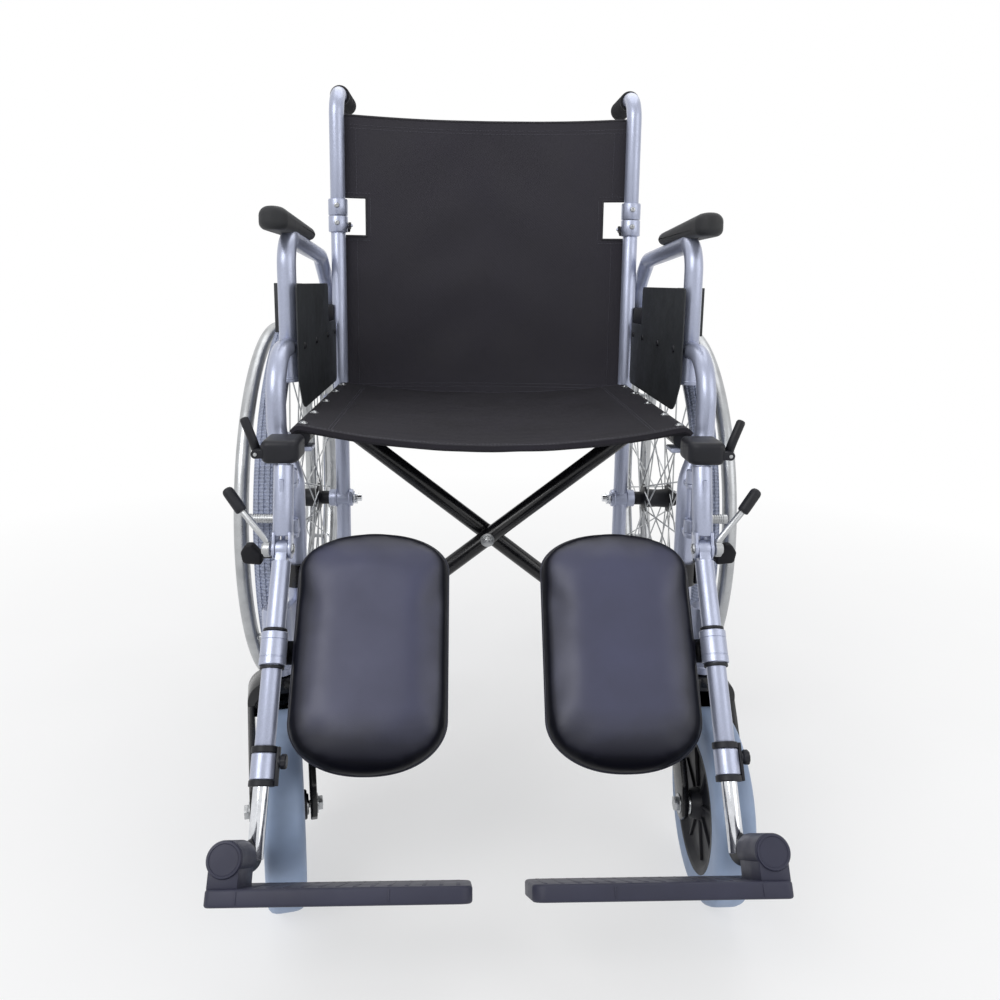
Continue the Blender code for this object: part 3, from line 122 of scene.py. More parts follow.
# Arms and legrests. A leg's own distances are from its knee pin, along the leg.
ARM_FRONT_Y = -0.304
ARM_REAR_Y = -0.012
ARM_FRONT_TOP = 0.709
ARM_REAR_TOP = 0.690
ARM_DROP = 0.008
ARM_PAD_TRIM = 0.0025
ARM_PIVOT = (0.240, 0.034, 0.588)
LEG_X = 0.222
KNEE_Y = -0.482
KNEE_Z = 0.375
LEG_ANGLE = math.radians(35.0)
INNER_LEG_END = 0.292
FOOT_HINGE_X = 0.233
CALF_X = 0.126
CALF_AT = 0.104
LEG_R = 0.0098
LEG_BORE = 0.0079
LEG_END = 0.226
SWING_Y = -0.432
HANGER_Y = -0.478
LUG_TOPS = (0.3787, 0.4347)
LATCH_PIVOT = (0.2492, 0.4735)
LATCH_Y = -0.458
LEG_TURN = Matrix.Rotation(-LEG_ANGLE, 4, "X")


def place(x, y, z):
    """A point given with Y measured from the rear axle."""
    return Vector((x, AXLE_Y + y, z))


def places(side):
    """Place points of one side, their X from the chair's middle outwards."""
    def at(x, y, z):
        return place(side * x, y, z)
    return at


def leg_point(x, along, forward=0.0):
    """A point beside the leg tube, along it from the knee and forward of it."""
    return place(x, KNEE_Y - math.sin(LEG_ANGLE) * along - math.cos(LEG_ANGLE) * forward,
                 KNEE_Z - math.cos(LEG_ANGLE) * along + math.sin(LEG_ANGLE) * forward)


def post_y(z):
    """Where the leaning back post stands at a height, from the rear axle."""
    return max(0.0, z - POST_STRAIGHT_Z) * math.tan(POST_LEAN)


def caster_point(side, across, ahead, z):
    """A point on a caster: across it to the outside, ahead of its stem."""
    spin = Matrix.Rotation(CASTER_TURN[side], 3, "Z")
    return place(side * STEM_X, STEM_Y, z) + spin @ Vector((side * across, -ahead, 0))


def wheel_way(turn):
    """A direction in a wheel's plane."""
    return Vector((0, math.cos(turn), math.sin(turn)))


POST_UP = Vector((0, math.sin(POST_LEAN), math.cos(POST_LEAN)))
POST_TOP_Y = post_y(HINGE_Z)
LEG_DOWN = leg_point(0, 1.0) - leg_point(0, 0.0)
LEG_AHEAD = leg_point(0, 0, 1.0) - leg_point(0, 0, 0.0)


# Shapes. Each is a closed bmesh in the place where it belongs.
def aim(direction):
    """A rotation that turns +Z to a direction."""
    return Vector(direction).to_track_quat("Z", "Y").to_matrix().to_4x4()


def cross_pin(middle, half, radius, sides, soft=0.0):
    """A pin or an eye laid across the chair, as far to both sides of a point."""
    reach = Vector((half, 0, 0))
    return rod(middle - reach, middle + reach, radius, sides, soft=soft)


def soften(bm, width, segments=2, least=25):
    """Round a shape's sharp edges."""
    sharp = [edge for edge in bm.edges
             if len(edge.link_faces) == 2 and edge.calc_face_angle(0) > math.radians(least)]
    if sharp:
        bmesh.ops.bevel(bm, geom=sharp, offset=width, segments=segments, profile=0.5,
                        affect="EDGES", material=-1, clamp_overlap=True)
    return bm


def rod(start, end, radius, sides=32, tip=None, soft=0.0):
    start, end = Vector(start), Vector(end)
    bm = bmesh.new()
    bmesh.ops.create_cone(
        bm, cap_ends=True, segments=sides, radius1=radius,
        radius2=radius if tip is None else tip, depth=(end - start).length,
        matrix=Matrix.Translation((start + end) / 2) @ aim(end - start))
    return soften(bm, soft, least=50) if soft else bm


def box(centre, size, turn=None, soft=0.0008):
    bm = bmesh.new()
    spin = turn if turn is not None else Matrix.Identity(4)
    bmesh.ops.create_cube(
        bm, size=1.0, matrix=Matrix.Translation(centre) @ spin @ Matrix.Diagonal((*size, 1.0)))
    return soften(bm, soft) if soft else bm


def arc_at(before, here, after, radius):
    """Where a bend of a radius starts and ends, with its centre, axis and sweep."""
    back = (before - here).normalized()
    ahead = (after - here).normalized()
    half = back.angle(ahead) / 2
    centre = here + (back + ahead).normalized() * radius / math.sin(half)
    first = here + back * radius / math.tan(half)
    last = here + ahead * radius / math.tan(half)
    axis = (first - centre).cross(last - centre).normalized()
    return first, last, centre, axis, (first - centre).angle(last - centre)


def pipe(corners, radii, radius, sides=28, steps=10, cap=0.0008):
    """A bent round bar: a disc pushed along straight runs and spun round its bends."""
    corners = [Vector(corner) for corner in corners]
    bm = bmesh.new()
    bmesh.ops.create_circle(
        bm, cap_ends=True, segments=sides, radius=radius,
        matrix=Matrix.Translation(corners[0]) @ aim(corners[1] - corners[0]))
    edges = list(bm.edges)
    rims = list(edges)
    here = corners[0]

    def push(edges, step):
        made = bmesh.ops.extrude_edge_only(bm, edges=edges)["geom"]
        verts = {item for item in made if isinstance(item, bmesh.types.BMVert)}
        bmesh.ops.translate(bm, vec=step, verts=list(verts))
        return [item for item in made if isinstance(item, bmesh.types.BMEdge)
                and verts.issuperset(item.verts)]

    for index in range(1, len(corners) - 1):
        first, last, centre, axis, sweep = arc_at(*corners[index - 1:index + 2],
                                                  radii[index - 1])
        edges = push(edges, first - here)
        made = bmesh.ops.spin(bm, geom=edges, cent=centre, axis=axis, dvec=(0, 0, 0),
                              angle=sweep, steps=steps, use_duplicate=False)
        edges = [item for item in made["geom_last"] if isinstance(item, bmesh.types.BMEdge)]
        here = last
    edges = push(edges, corners[-1] - here)
    bmesh.ops.contextual_create(bm, geom=edges)
    if cap:
        bmesh.ops.bevel(bm, geom=rims + edges, offset=cap, segments=2, profile=0.5,
                        affect="EDGES", material=-1)
    return bm


def turned(profile, centre, axis, steps=48, closed=True, soft=0.0):
    """A turned part from a profile of (radius, height) points."""
    bm = bmesh.new()
    verts = [bm.verts.new((radius, 0.0, height)) for radius, height in profile]
    pairs = list(zip(verts, verts[1:]))
    if closed:
        pairs.append((verts[-1], verts[0]))
    edges = [bm.edges.new(pair) for pair in pairs]
    bmesh.ops.spin(bm, geom=verts + edges, cent=(0, 0, 0), axis=(0, 0, 1), dvec=(0, 0, 0),
                   angle=2 * math.pi, steps=steps, use_merge=True, use_duplicate=False)
    poles = [vert for vert in bm.verts if math.hypot(vert.co.x, vert.co.y) < 1e-6]
    bmesh.ops.remove_doubles(bm, verts=poles, dist=1e-6)
    bmesh.ops.recalc_face_normals(bm, faces=bm.faces)
    if soft:
        soften(bm, soft)
    bmesh.ops.transform(bm, matrix=Matrix.Translation(Vector(centre)) @ aim(axis),
                        verts=bm.verts)
    return bm


def collar(bore, radius, length, edge, centre, axis, steps=36):
    """A ring with eased edges, laid along an axis from a centre."""
    return turned([(bore, 0.0), (radius - edge, 0.0), (radius, edge), (radius, length - edge),
                   (radius - edge, length), (bore, length)], centre, axis, steps)


def mirrored(profile):
    """The other half of a symmetrical profile, in turning order."""
    return [(radius, -height) for radius, height in reversed(profile)]


def hoop(centre, axis, major, minor, steps=96, sides=20):
    """A round ring."""
    profile = [(major + minor * math.cos(2 * math.pi * index / sides),
                minor * math.sin(2 * math.pi * index / sides)) for index in range(sides)]
    return turned(profile, centre, axis, steps)


def rounded(corners, radii, steps=6):
    """A flat outline whose corners are rounded as arcs."""
    count = len(corners)
    points = []
    for index in range(count):
        before, here, after = (Vector((*corners[(index + offset) % count], 0.0))
                               for offset in (-1, 0, 1))
        if radii[index] <= 0:
            points.append(here)
            continue
        first, _, centre, axis, sweep = arc_at(before, here, after, radii[index])
        for step in range(steps + 1):
            points.append(centre + Matrix.Rotation(sweep * step / steps, 3, axis)
                          @ (first - centre))
    return points


def plate(outline, thickness, matrix, soft=0.0008, segments=2):
    """A plate from a flat outline, its thickness centred on the outline's plane."""
    bm = bmesh.new()
    points = [point if len(point) == 3 else (*point, 0.0) for point in outline]
    face = bm.faces.new([bm.verts.new(point) for point in points])
    bmesh.ops.translate(bm, vec=(0, 0, -thickness / 2), verts=bm.verts)
    made = bmesh.ops.extrude_face_region(bm, geom=[face])["geom"]
    top = [item for item in made if isinstance(item, bmesh.types.BMVert)]
    bmesh.ops.translate(bm, vec=(0, 0, thickness), verts=top)
    bmesh.ops.recalc_face_normals(bm, faces=bm.faces)
    if soft:
        soften(bm, soft, segments, least=50)
    bmesh.ops.transform(bm, matrix=matrix, verts=bm.verts)
    return bm


SIDE_PLANE = Matrix(((0, 0, 1, 0), (1, 0, 0, 0), (0, 1, 0, 0), (0, 0, 0, 1)))


def side_plate(outline, thickness, x, soft=0.0006):
    """A plate in the plane of a side; its outline is Y from the axle, and Z."""
    return plate(outline, thickness, Matrix.Translation((x, AXLE_Y, 0)) @ SIDE_PLANE, soft)


def bolt_head(at, out, radius, height=None, recess=True):
    """A domed screw head with a round driver recess, seated on a surface."""
    height = height or radius * 0.55
    profile = [(0.0, -0.0006), (radius, -0.0006), (radius, height * 0.35),
               (radius * 0.86, height * 0.78), (radius * 0.55, height)]
    if recess:
        profile += [(radius * 0.42, height), (radius * 0.36, height * 0.35),
                    (0.0, height * 0.30)]
    else:
        profile += [(radius * 0.25, height * 1.06), (0.0, height * 1.08)]
    return turned(profile, at, out, 20, closed=False)


def hex_head(at, out, radius, height, washer=0.0):
    """A hexagon nut or bolt head, on a washer where one is given."""
    at, out = Vector(at), Vector(out).normalized()
    parts = [rod(at + out * washer * 0.3, at + out * height, radius, 6, soft=0.0005)]
    if washer:
        parts.append(rod(at, at + out * 0.0012, radius + washer, 28, soft=0.0003))
    return parts


def weld(at, axis, major, minor=0.0016):
    """A weld's bead round a tube."""
    return hoop(at, axis, major, minor, 40, 10)


# Finished pieces
def as_object(name, bm):
    """An object in the scene with a shape as its mesh."""
    mesh = bpy.data.meshes.new(name)
    bm.to_mesh(mesh)
    bm.free()
    item = bpy.data.objects.new(name, mesh)
    bpy.context.scene.collection.objects.link(item)
    return item


def piece(name, body, looks, parts, replaces=(), sharp=38):
    """Join shapes into one object that rides on a body. A part is a shape, or a shape
    and the number of its material."""
    whole = bmesh.new()
    scratch = bpy.data.meshes.new("scratch")
    for part in parts:
        bm, look = part if isinstance(part, tuple) else (part, 0)
        for face in bm.faces:
            face.material_index = look
        bm.to_mesh(scratch)
        bm.free()
        whole.from_mesh(scratch)
    bpy.data.meshes.remove(scratch)
    return dress(as_object(name, whole), body, looks, replaces, sharp)


def side_piece(word, name, body, looks, parts, node_name, sharp=38):
    """A piece of one side that stands for one node of the frame."""
    return piece(f"{word}_{name}", f"{word}_{body}", looks, parts, [f"{word}_{node_name}"],
                 sharp)


def dress(item, body, looks, replaces=(), sharp=38):
    """Give an object its materials, named in their order, and its shading, and tie it
    to the frame."""
    for name in looks.split():
        item.data.materials.append(look(name))
    item.data.shade_smooth()
    item.data.set_sharp_from_angle(angle=math.radians(sharp))
    if body:
        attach(item, body)
    if replaces:
        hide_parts(*replaces)
    return item


# Materials
def linear(code, alpha=1.0):
    """An sRGB hex colour as linear values."""
    values = [int(code[index:index + 2], 16) / 255 for index in (1, 3, 5)]
    values = [v / 12.92 if v <= 0.04045 else ((v + 0.055) / 1.055) ** 2.4 for v in values]
    return (*values, alpha)


def node(tree, kind, links=(), **settings):
    """Add a node; links gives its sockets a value or another node's output."""
    made = tree.nodes.new(kind)
    for key, value in settings.items():
        setattr(made, key, value)
    for socket, value in dict(links).items():
        if isinstance(value, bpy.types.NodeSocket):
            tree.links.new(value, made.inputs[socket])
        else:
            made.inputs[socket].default_value = value
    return made


def surface(name, **values):
    """A new material with one shader, its node tree and the object's coordinates."""
    made = bpy.data.materials.new(name)
    made.use_nodes = True
    tree = made.node_tree
    tree.nodes.clear()
    shader = node(tree, "ShaderNodeBsdfPrincipled")
    for key, value in values.items():
        shader.inputs[key.replace("_", " ")].default_value = value
    out = node(tree, "ShaderNodeOutputMaterial")
    tree.links.new(shader.outputs["BSDF"], out.inputs["Surface"])
    where = node(tree, "ShaderNodeTexCoord").outputs["Object"]
    return made, tree, shader, where


def tint(name, share=1.0):
    """One of the user's colours, made darker or paler by a share."""
    colour = getattr(bpy.context.scene.chair_finish, name)
    return (*[min(1.0, part * share) for part in colour], 1.0)


def speckle(tree, where, size_mm, detail=2.0, rough=0.5, seed=0.0):
    """Noise whose grains are a size in millimetres."""
    moved = node(tree, "ShaderNodeMapping", {"Vector": where, "Location": (seed, seed, seed)})
    return node(tree, "ShaderNodeTexNoise",
                {"Vector": moved.outputs["Vector"], "Scale": 1000.0 / size_mm,
                 "Detail": detail, "Roughness": rough}).outputs["Fac"]


def shades(tree, value, *stops):
    """Colours along a value from 0 to 1, each stop a place and a hex colour."""
    ramp = node(tree, "ShaderNodeValToRGB", {"Fac": value})
    bar = ramp.color_ramp
    while len(bar.elements) < len(stops):
        bar.elements.new(0.5)
    for element, (at, colour) in zip(bar.elements, stops):
        element.position = at
        element.color = linear(colour) if isinstance(colour, str) else colour
    return ramp.outputs["Color"]


def spread(tree, value, low, high):
    """A value from 0 to 1 spread from low to high."""
    return node(tree, "ShaderNodeMapRange", {"Value": value, "From Min": 0.3, "From Max": 0.7,
                                             "To Min": low, "To Max": high}).outputs["Result"]


def relief(tree, shader, height, depth_mm, strength=1.0):
    """Raise and lower a surface by a depth in millimetres."""
    bump = node(tree, "ShaderNodeBump", {"Height": height, "Distance": depth_mm * MM,
                                         "Strength": strength})
    drive(tree, shader, Normal=bump.outputs["Normal"])


def drive(tree, shader, **outputs):
    """Join outputs to the shader's sockets of the same names."""
    for name, output in outputs.items():
        tree.links.new(output, shader.inputs[name.replace("_", " ")])


def coated(name, low, high, roughness, grain_mm, depth_mm, **values):
    """A painted or moulded finish: a soft change of tone, a fine skin texture and a
    gloss that varies where hands and dust have been."""
    made, tree, shader, where = surface(name, **values)
    tone = speckle(tree, where, 45.0, 3.0, seed=1.7)
    gloss = speckle(tree, where, 18.0, 4.0, seed=4.1)
    drive(tree, shader, Base_Color=shades(tree, tone, (0.30, low), (0.70, high)),
          Roughness=spread(tree, gloss, roughness - 0.05, roughness + 0.08))
    relief(tree, shader, speckle(tree, where, grain_mm, 2.0), depth_mm)
    return made


def silver_powder_coat():
    """Metallic powder coat on steel tube: a cool grey with flake, orange peel and a
    thin clear skin."""
    made, tree, shader, where = surface("silver powder coat", Metallic=0.55, Coat_Weight=0.35,
                                        Coat_Roughness=0.18)
    tone = speckle(tree, where, 60.0, 3.0, seed=1.7)
    flake = node(tree, "ShaderNodeTexVoronoi", {"Vector": where, "Scale": 1000.0 / 0.9})
    base = shades(tree, tone, (0.30, tint("frame_colour", 0.93)),
                  (0.70, tint("frame_colour", 1.08)))
    spark = shades(tree, flake.outputs["Color"], (0.0, tint("frame_colour", 0.80)),
                   (1.0, tint("frame_colour", 1.35)))
    mix = node(tree, "ShaderNodeMixRGB", {"Fac": 0.30, "Color1": base, "Color2": spark})
    gloss = speckle(tree, where, 14.0, 4.0, seed=4.1)
    drive(tree, shader, Base_Color=mix.outputs["Color"],
          Roughness=spread(tree, gloss, 0.30, 0.42))
    relief(tree, shader, speckle(tree, where, 2.2, 2.0), 0.05)
    return made


def black_enamel():
    """Stoved gloss enamel on steel: deep black with a soft orange peel."""
    return coated("black stoved enamel", "#0e0e11", "#17171b", 0.26, 3.0, 0.04,
                  Coat_Weight=0.25, Coat_Roughness=0.10, Specular_IOR_Level=0.35)


def brushed_zinc():
    """Zinc plate and satin aluminium: a pale metal with fine streaks and dull patches."""
    made, tree, shader, where = surface("satin aluminium", Metallic=1.0)
    tone = speckle(tree, where, 30.0, 3.0)
    streaks = node(tree, "ShaderNodeMapping", {"Vector": where, "Scale": (0.12, 1.0, 1.0)})
    fine = speckle(tree, streaks.outputs["Vector"], 1.2, 3.0)
    drive(tree, shader, Base_Color=shades(tree, tone, (0.3, "#a4a6a8"), (0.7, "#babcbe")),
          Roughness=spread(tree, fine, 0.26, 0.42))
    relief(tree, shader, fine, 0.015)
    return made


def chrome_plate():
    """Chrome plate: a mirror with faint wiping marks."""
    made, tree, shader, where = surface("chrome plate", Metallic=1.0)
    marks = speckle(tree, where, 9.0, 5.0, 0.6)
    drive(tree, shader, Base_Color=shades(tree, marks, (0.3, "#c9cbd0"), (0.7, "#e4e6ea")),
          Roughness=spread(tree, marks, 0.07, 0.16))
    return made


def black_nylon_moulding():
    """Glass-filled nylon, spark-eroded mould: black, satin, finely pitted."""
    return coated("black moulded nylon", "#121318", "#1c1d24", 0.48, 0.8, 0.05,
                  Specular_IOR_Level=0.32)


def grey_nylon_moulding():
    """Glass-filled nylon in a dark slate grey, with a matt grained face."""
    return coated("slate moulded nylon", tint("footplate_colour", 0.86),
                  tint("footplate_colour", 1.14), 0.50, 0.9, 0.06, Specular_IOR_Level=0.38)


def panel_sheet():
    """Hard plastic sheet: near black, leather-grained and dull."""
    return coated("black plastic sheet", "#1d2023", "#2a2d31", 0.58, 1.6, 0.10)


def arm_foam():
    """Self-skinned polyurethane foam: a dense black skin, slightly wrinkled."""
    made, tree, shader, where = surface("self-skinned foam", Sheen_Weight=0.10,
                                        Sheen_Roughness=0.5, Specular_IOR_Level=0.38)
    tone = speckle(tree, where, 22.0, 4.0)
    drive(tree, shader, Base_Color=shades(tree, tone, (0.3, "#1b1c1e"), (0.7, "#27282b")),
          Roughness=spread(tree, tone, 0.52, 0.70))
    skin = node(tree, "ShaderNodeTexVoronoi", {"Vector": where, "Scale": 1000.0 / 1.4},
                feature="SMOOTH_F1")
    relief(tree, shader, skin.outputs["Distance"], 0.12)
    return made


def calf_vinyl():
    """Coated upholstery vinyl: slate blue-grey, pebbled, with a soft shine. It carries painted
    light: paler over the crown, darker and less shiny towards its rim, where the pad turns from
    the light."""
    made, tree, shader, where = surface("upholstery vinyl", Coat_Weight=0.10,
                                        Coat_Roughness=0.38)
    # rim is a mask of painted shade made by calf_cushion; the base colour darkens and the shine
    # fades with it.
    rim = node(tree, "ShaderNodeAttribute", attribute_name="rim").outputs["Fac"]
    cloud = speckle(tree, where, 50.0, 3.0, seed=2.2)
    mixed = node(tree, "ShaderNodeMath", {0: cloud, 1: 0.35, 2: rim},
                 operation="MULTIPLY_ADD").outputs[0]
    # Painted highlight and shade: the lit crown is drawn far paler than the vinyl, the shaded
    # rim far darker.
    stops = [(at, tint("vinyl_colour", share)) for at, share in
             ((0.12, 1.42), (0.36, 0.92), (0.60, 0.34), (0.95, 0.10))]
    drive(tree, shader, Base_Color=shades(tree, mixed, *stops),
          Specular_IOR_Level=spread(tree, rim, 0.50, 0.06),
          Roughness=spread(tree, cloud, 0.40, 0.52))
    cells = node(tree, "ShaderNodeTexVoronoi", {"Vector": where, "Scale": 1000.0 / 1.5},
                 feature="DISTANCE_TO_EDGE")
    relief(tree, shader, cells.outputs["Distance"], 0.10, 0.7)
    return made


def vinyl_piping():
    """The same vinyl sewn round a cord as a welt, drawn darker than the cover."""
    return coated("vinyl piping", tint("vinyl_colour", 0.28), tint("vinyl_colour", 0.42),
                  0.50, 1.5, 0.08)


def shaded_seat_weave():
    """Seat cloth: coated nylon, near black with a violet cast, drawn darker than the
    back's copy of the same nylon as painted shade.
    """
    return woven_nylon("seat nylon", tint("cloth_colour", 0.55), tint("cloth_colour", 0.95),
                       2.4, 0.12)


def lit_back_weave():
    """Back cloth: the same nylon, drawn paler than the seat's copy as painted light."""
    return woven_nylon("back nylon", tint("cloth_colour", 0.92), tint("cloth_colour", 1.30),
                       2.4, 0.30)


def nylon_binding():
    """Woven nylon tape bound over a raw edge, darker than the cloth."""
    return coated("nylon binding tape", tint("cloth_colour", 0.55),
                  tint("cloth_colour", 0.80), 0.72, 0.9, 0.10)


def woven_nylon(name, low, high, thread_mm, shine):
    """Coated plain-weave nylon. Its map is in metres of flat cloth; the threads are
    drawn coarser than the real ones, so that they show."""
    made, tree, shader, where = surface(name, Sheen_Weight=0.4 * shine, Sheen_Roughness=0.5,
                                        Specular_IOR_Level=shine)
    cloth = node(tree, "ShaderNodeUVMap", uv_map="cloth").outputs["UV"]
    axes = node(tree, "ShaderNodeSeparateXYZ", {"Vector": cloth})
    turns = 2 * math.pi / (thread_mm * MM)
    waves = []
    for axis in ("X", "Y"):
        scaled = node(tree, "ShaderNodeMath", {0: axes.outputs[axis], 1: turns},
                      operation="MULTIPLY")
        waves.append(node(tree, "ShaderNodeMath", {0: scaled.outputs[0]}, operation="SINE"))
    weave = node(tree, "ShaderNodeMath", {0: waves[0].outputs[0], 1: waves[1].outputs[0]},
                 operation="MULTIPLY").outputs[0]
    tone = speckle(tree, where, 70.0, 4.0, seed=3.3)
    lifted = node(tree, "ShaderNodeMath", {0: weave, 1: 0.10, 2: tone},
                  operation="MULTIPLY_ADD").outputs[0]
    drive(tree, shader, Base_Color=shades(tree, lifted, (0.25, low), (0.75, high)),
          Roughness=spread(tree, tone, 0.62, 0.78))
    relief(tree, shader, weave, 0.12)
    return made


def grey_tyre_rubber():
    """Non-marking solid rubber: blue-grey, matt, dusted paler in places."""
    made, tree, shader, where = surface("grey solid rubber", Roughness=0.68)
    axes = node(tree, "ShaderNodeSeparateXYZ", {"Vector": where})
    off = [node(tree, "ShaderNodeMath", {0: axes.outputs[axis], 1: middle},
                operation="SUBTRACT").outputs[0]
           for axis, middle in (("Z", WHEEL_R), ("Y", AXLE_Y))]
    turn = node(tree, "ShaderNodeMath", {0: off[0], 1: off[1]}, operation="ARCTAN2").outputs[0]
    knurl = node(tree, "ShaderNodeMath", {0: turn, 1: KNURLS}, operation="MULTIPLY").outputs[0]
    wave = node(tree, "ShaderNodeMath", {0: knurl}, operation="SINE").outputs[0]
    tone = speckle(tree, where, 30.0, 3.0, seed=2.6)
    lifted = node(tree, "ShaderNodeMath", {0: wave, 1: 0.16, 2: tone},
                  operation="MULTIPLY_ADD").outputs[0]
    drive(tree, shader, Base_Color=shades(tree, lifted, (0.25, tint("tyre_colour", 0.76)),
                                          (0.75, tint("tyre_colour", 1.16))))
    relief(tree, shader, wave, 0.35)
    return made


def caster_rubber():
    """Smooth non-marking rubber, a lighter blue-grey with a faint polish."""
    return coated("caster rubber", tint("caster_colour", 0.88), tint("caster_colour", 1.14),
                  0.50, 2.0, 0.06)


def black_rubber():
    """Moulded black rubber of grips and tips: dull, soft, finely porous."""
    return coated("black rubber", "#121215", "#1c1c21", 0.72, 0.7, 0.07,
                  Specular_IOR_Level=0.32)


def sewing_thread():
    """Bonded polyester thread, charcoal, a shade paler than the cloth."""
    return coated("charcoal thread", "#3b3a42", "#4a4952", 0.60, 0.5, 0.04)


MATERIALS = {
    "silver": silver_powder_coat, "black": black_enamel, "satin": brushed_zinc,
    "chrome": chrome_plate, "nylon_part": black_nylon_moulding,
    "slate": grey_nylon_moulding, "panel": panel_sheet, "foam": arm_foam,
    "vinyl": calf_vinyl, "tyre": grey_tyre_rubber, "caster": caster_rubber,
    "rubber": black_rubber, "thread": sewing_thread, "vinyl_dark": vinyl_piping,
    "seat_cloth": shaded_seat_weave, "back_cloth": lit_back_weave, "hem_cloth": nylon_binding,
}
MADE = {}


def look(name):
    """A material by its short name, made once."""
    if name not in MADE:
        MADE[name] = MATERIALS[name]()
    return MADE[name]


# Pieces of the frame
def collar_screw(at):
    """A screw in the front of a folding hinge's collar."""
    return bolt_head(at + Vector((0, 0.0002 - COLLAR_R, 0)), (0, -1, 0), 0.0040)


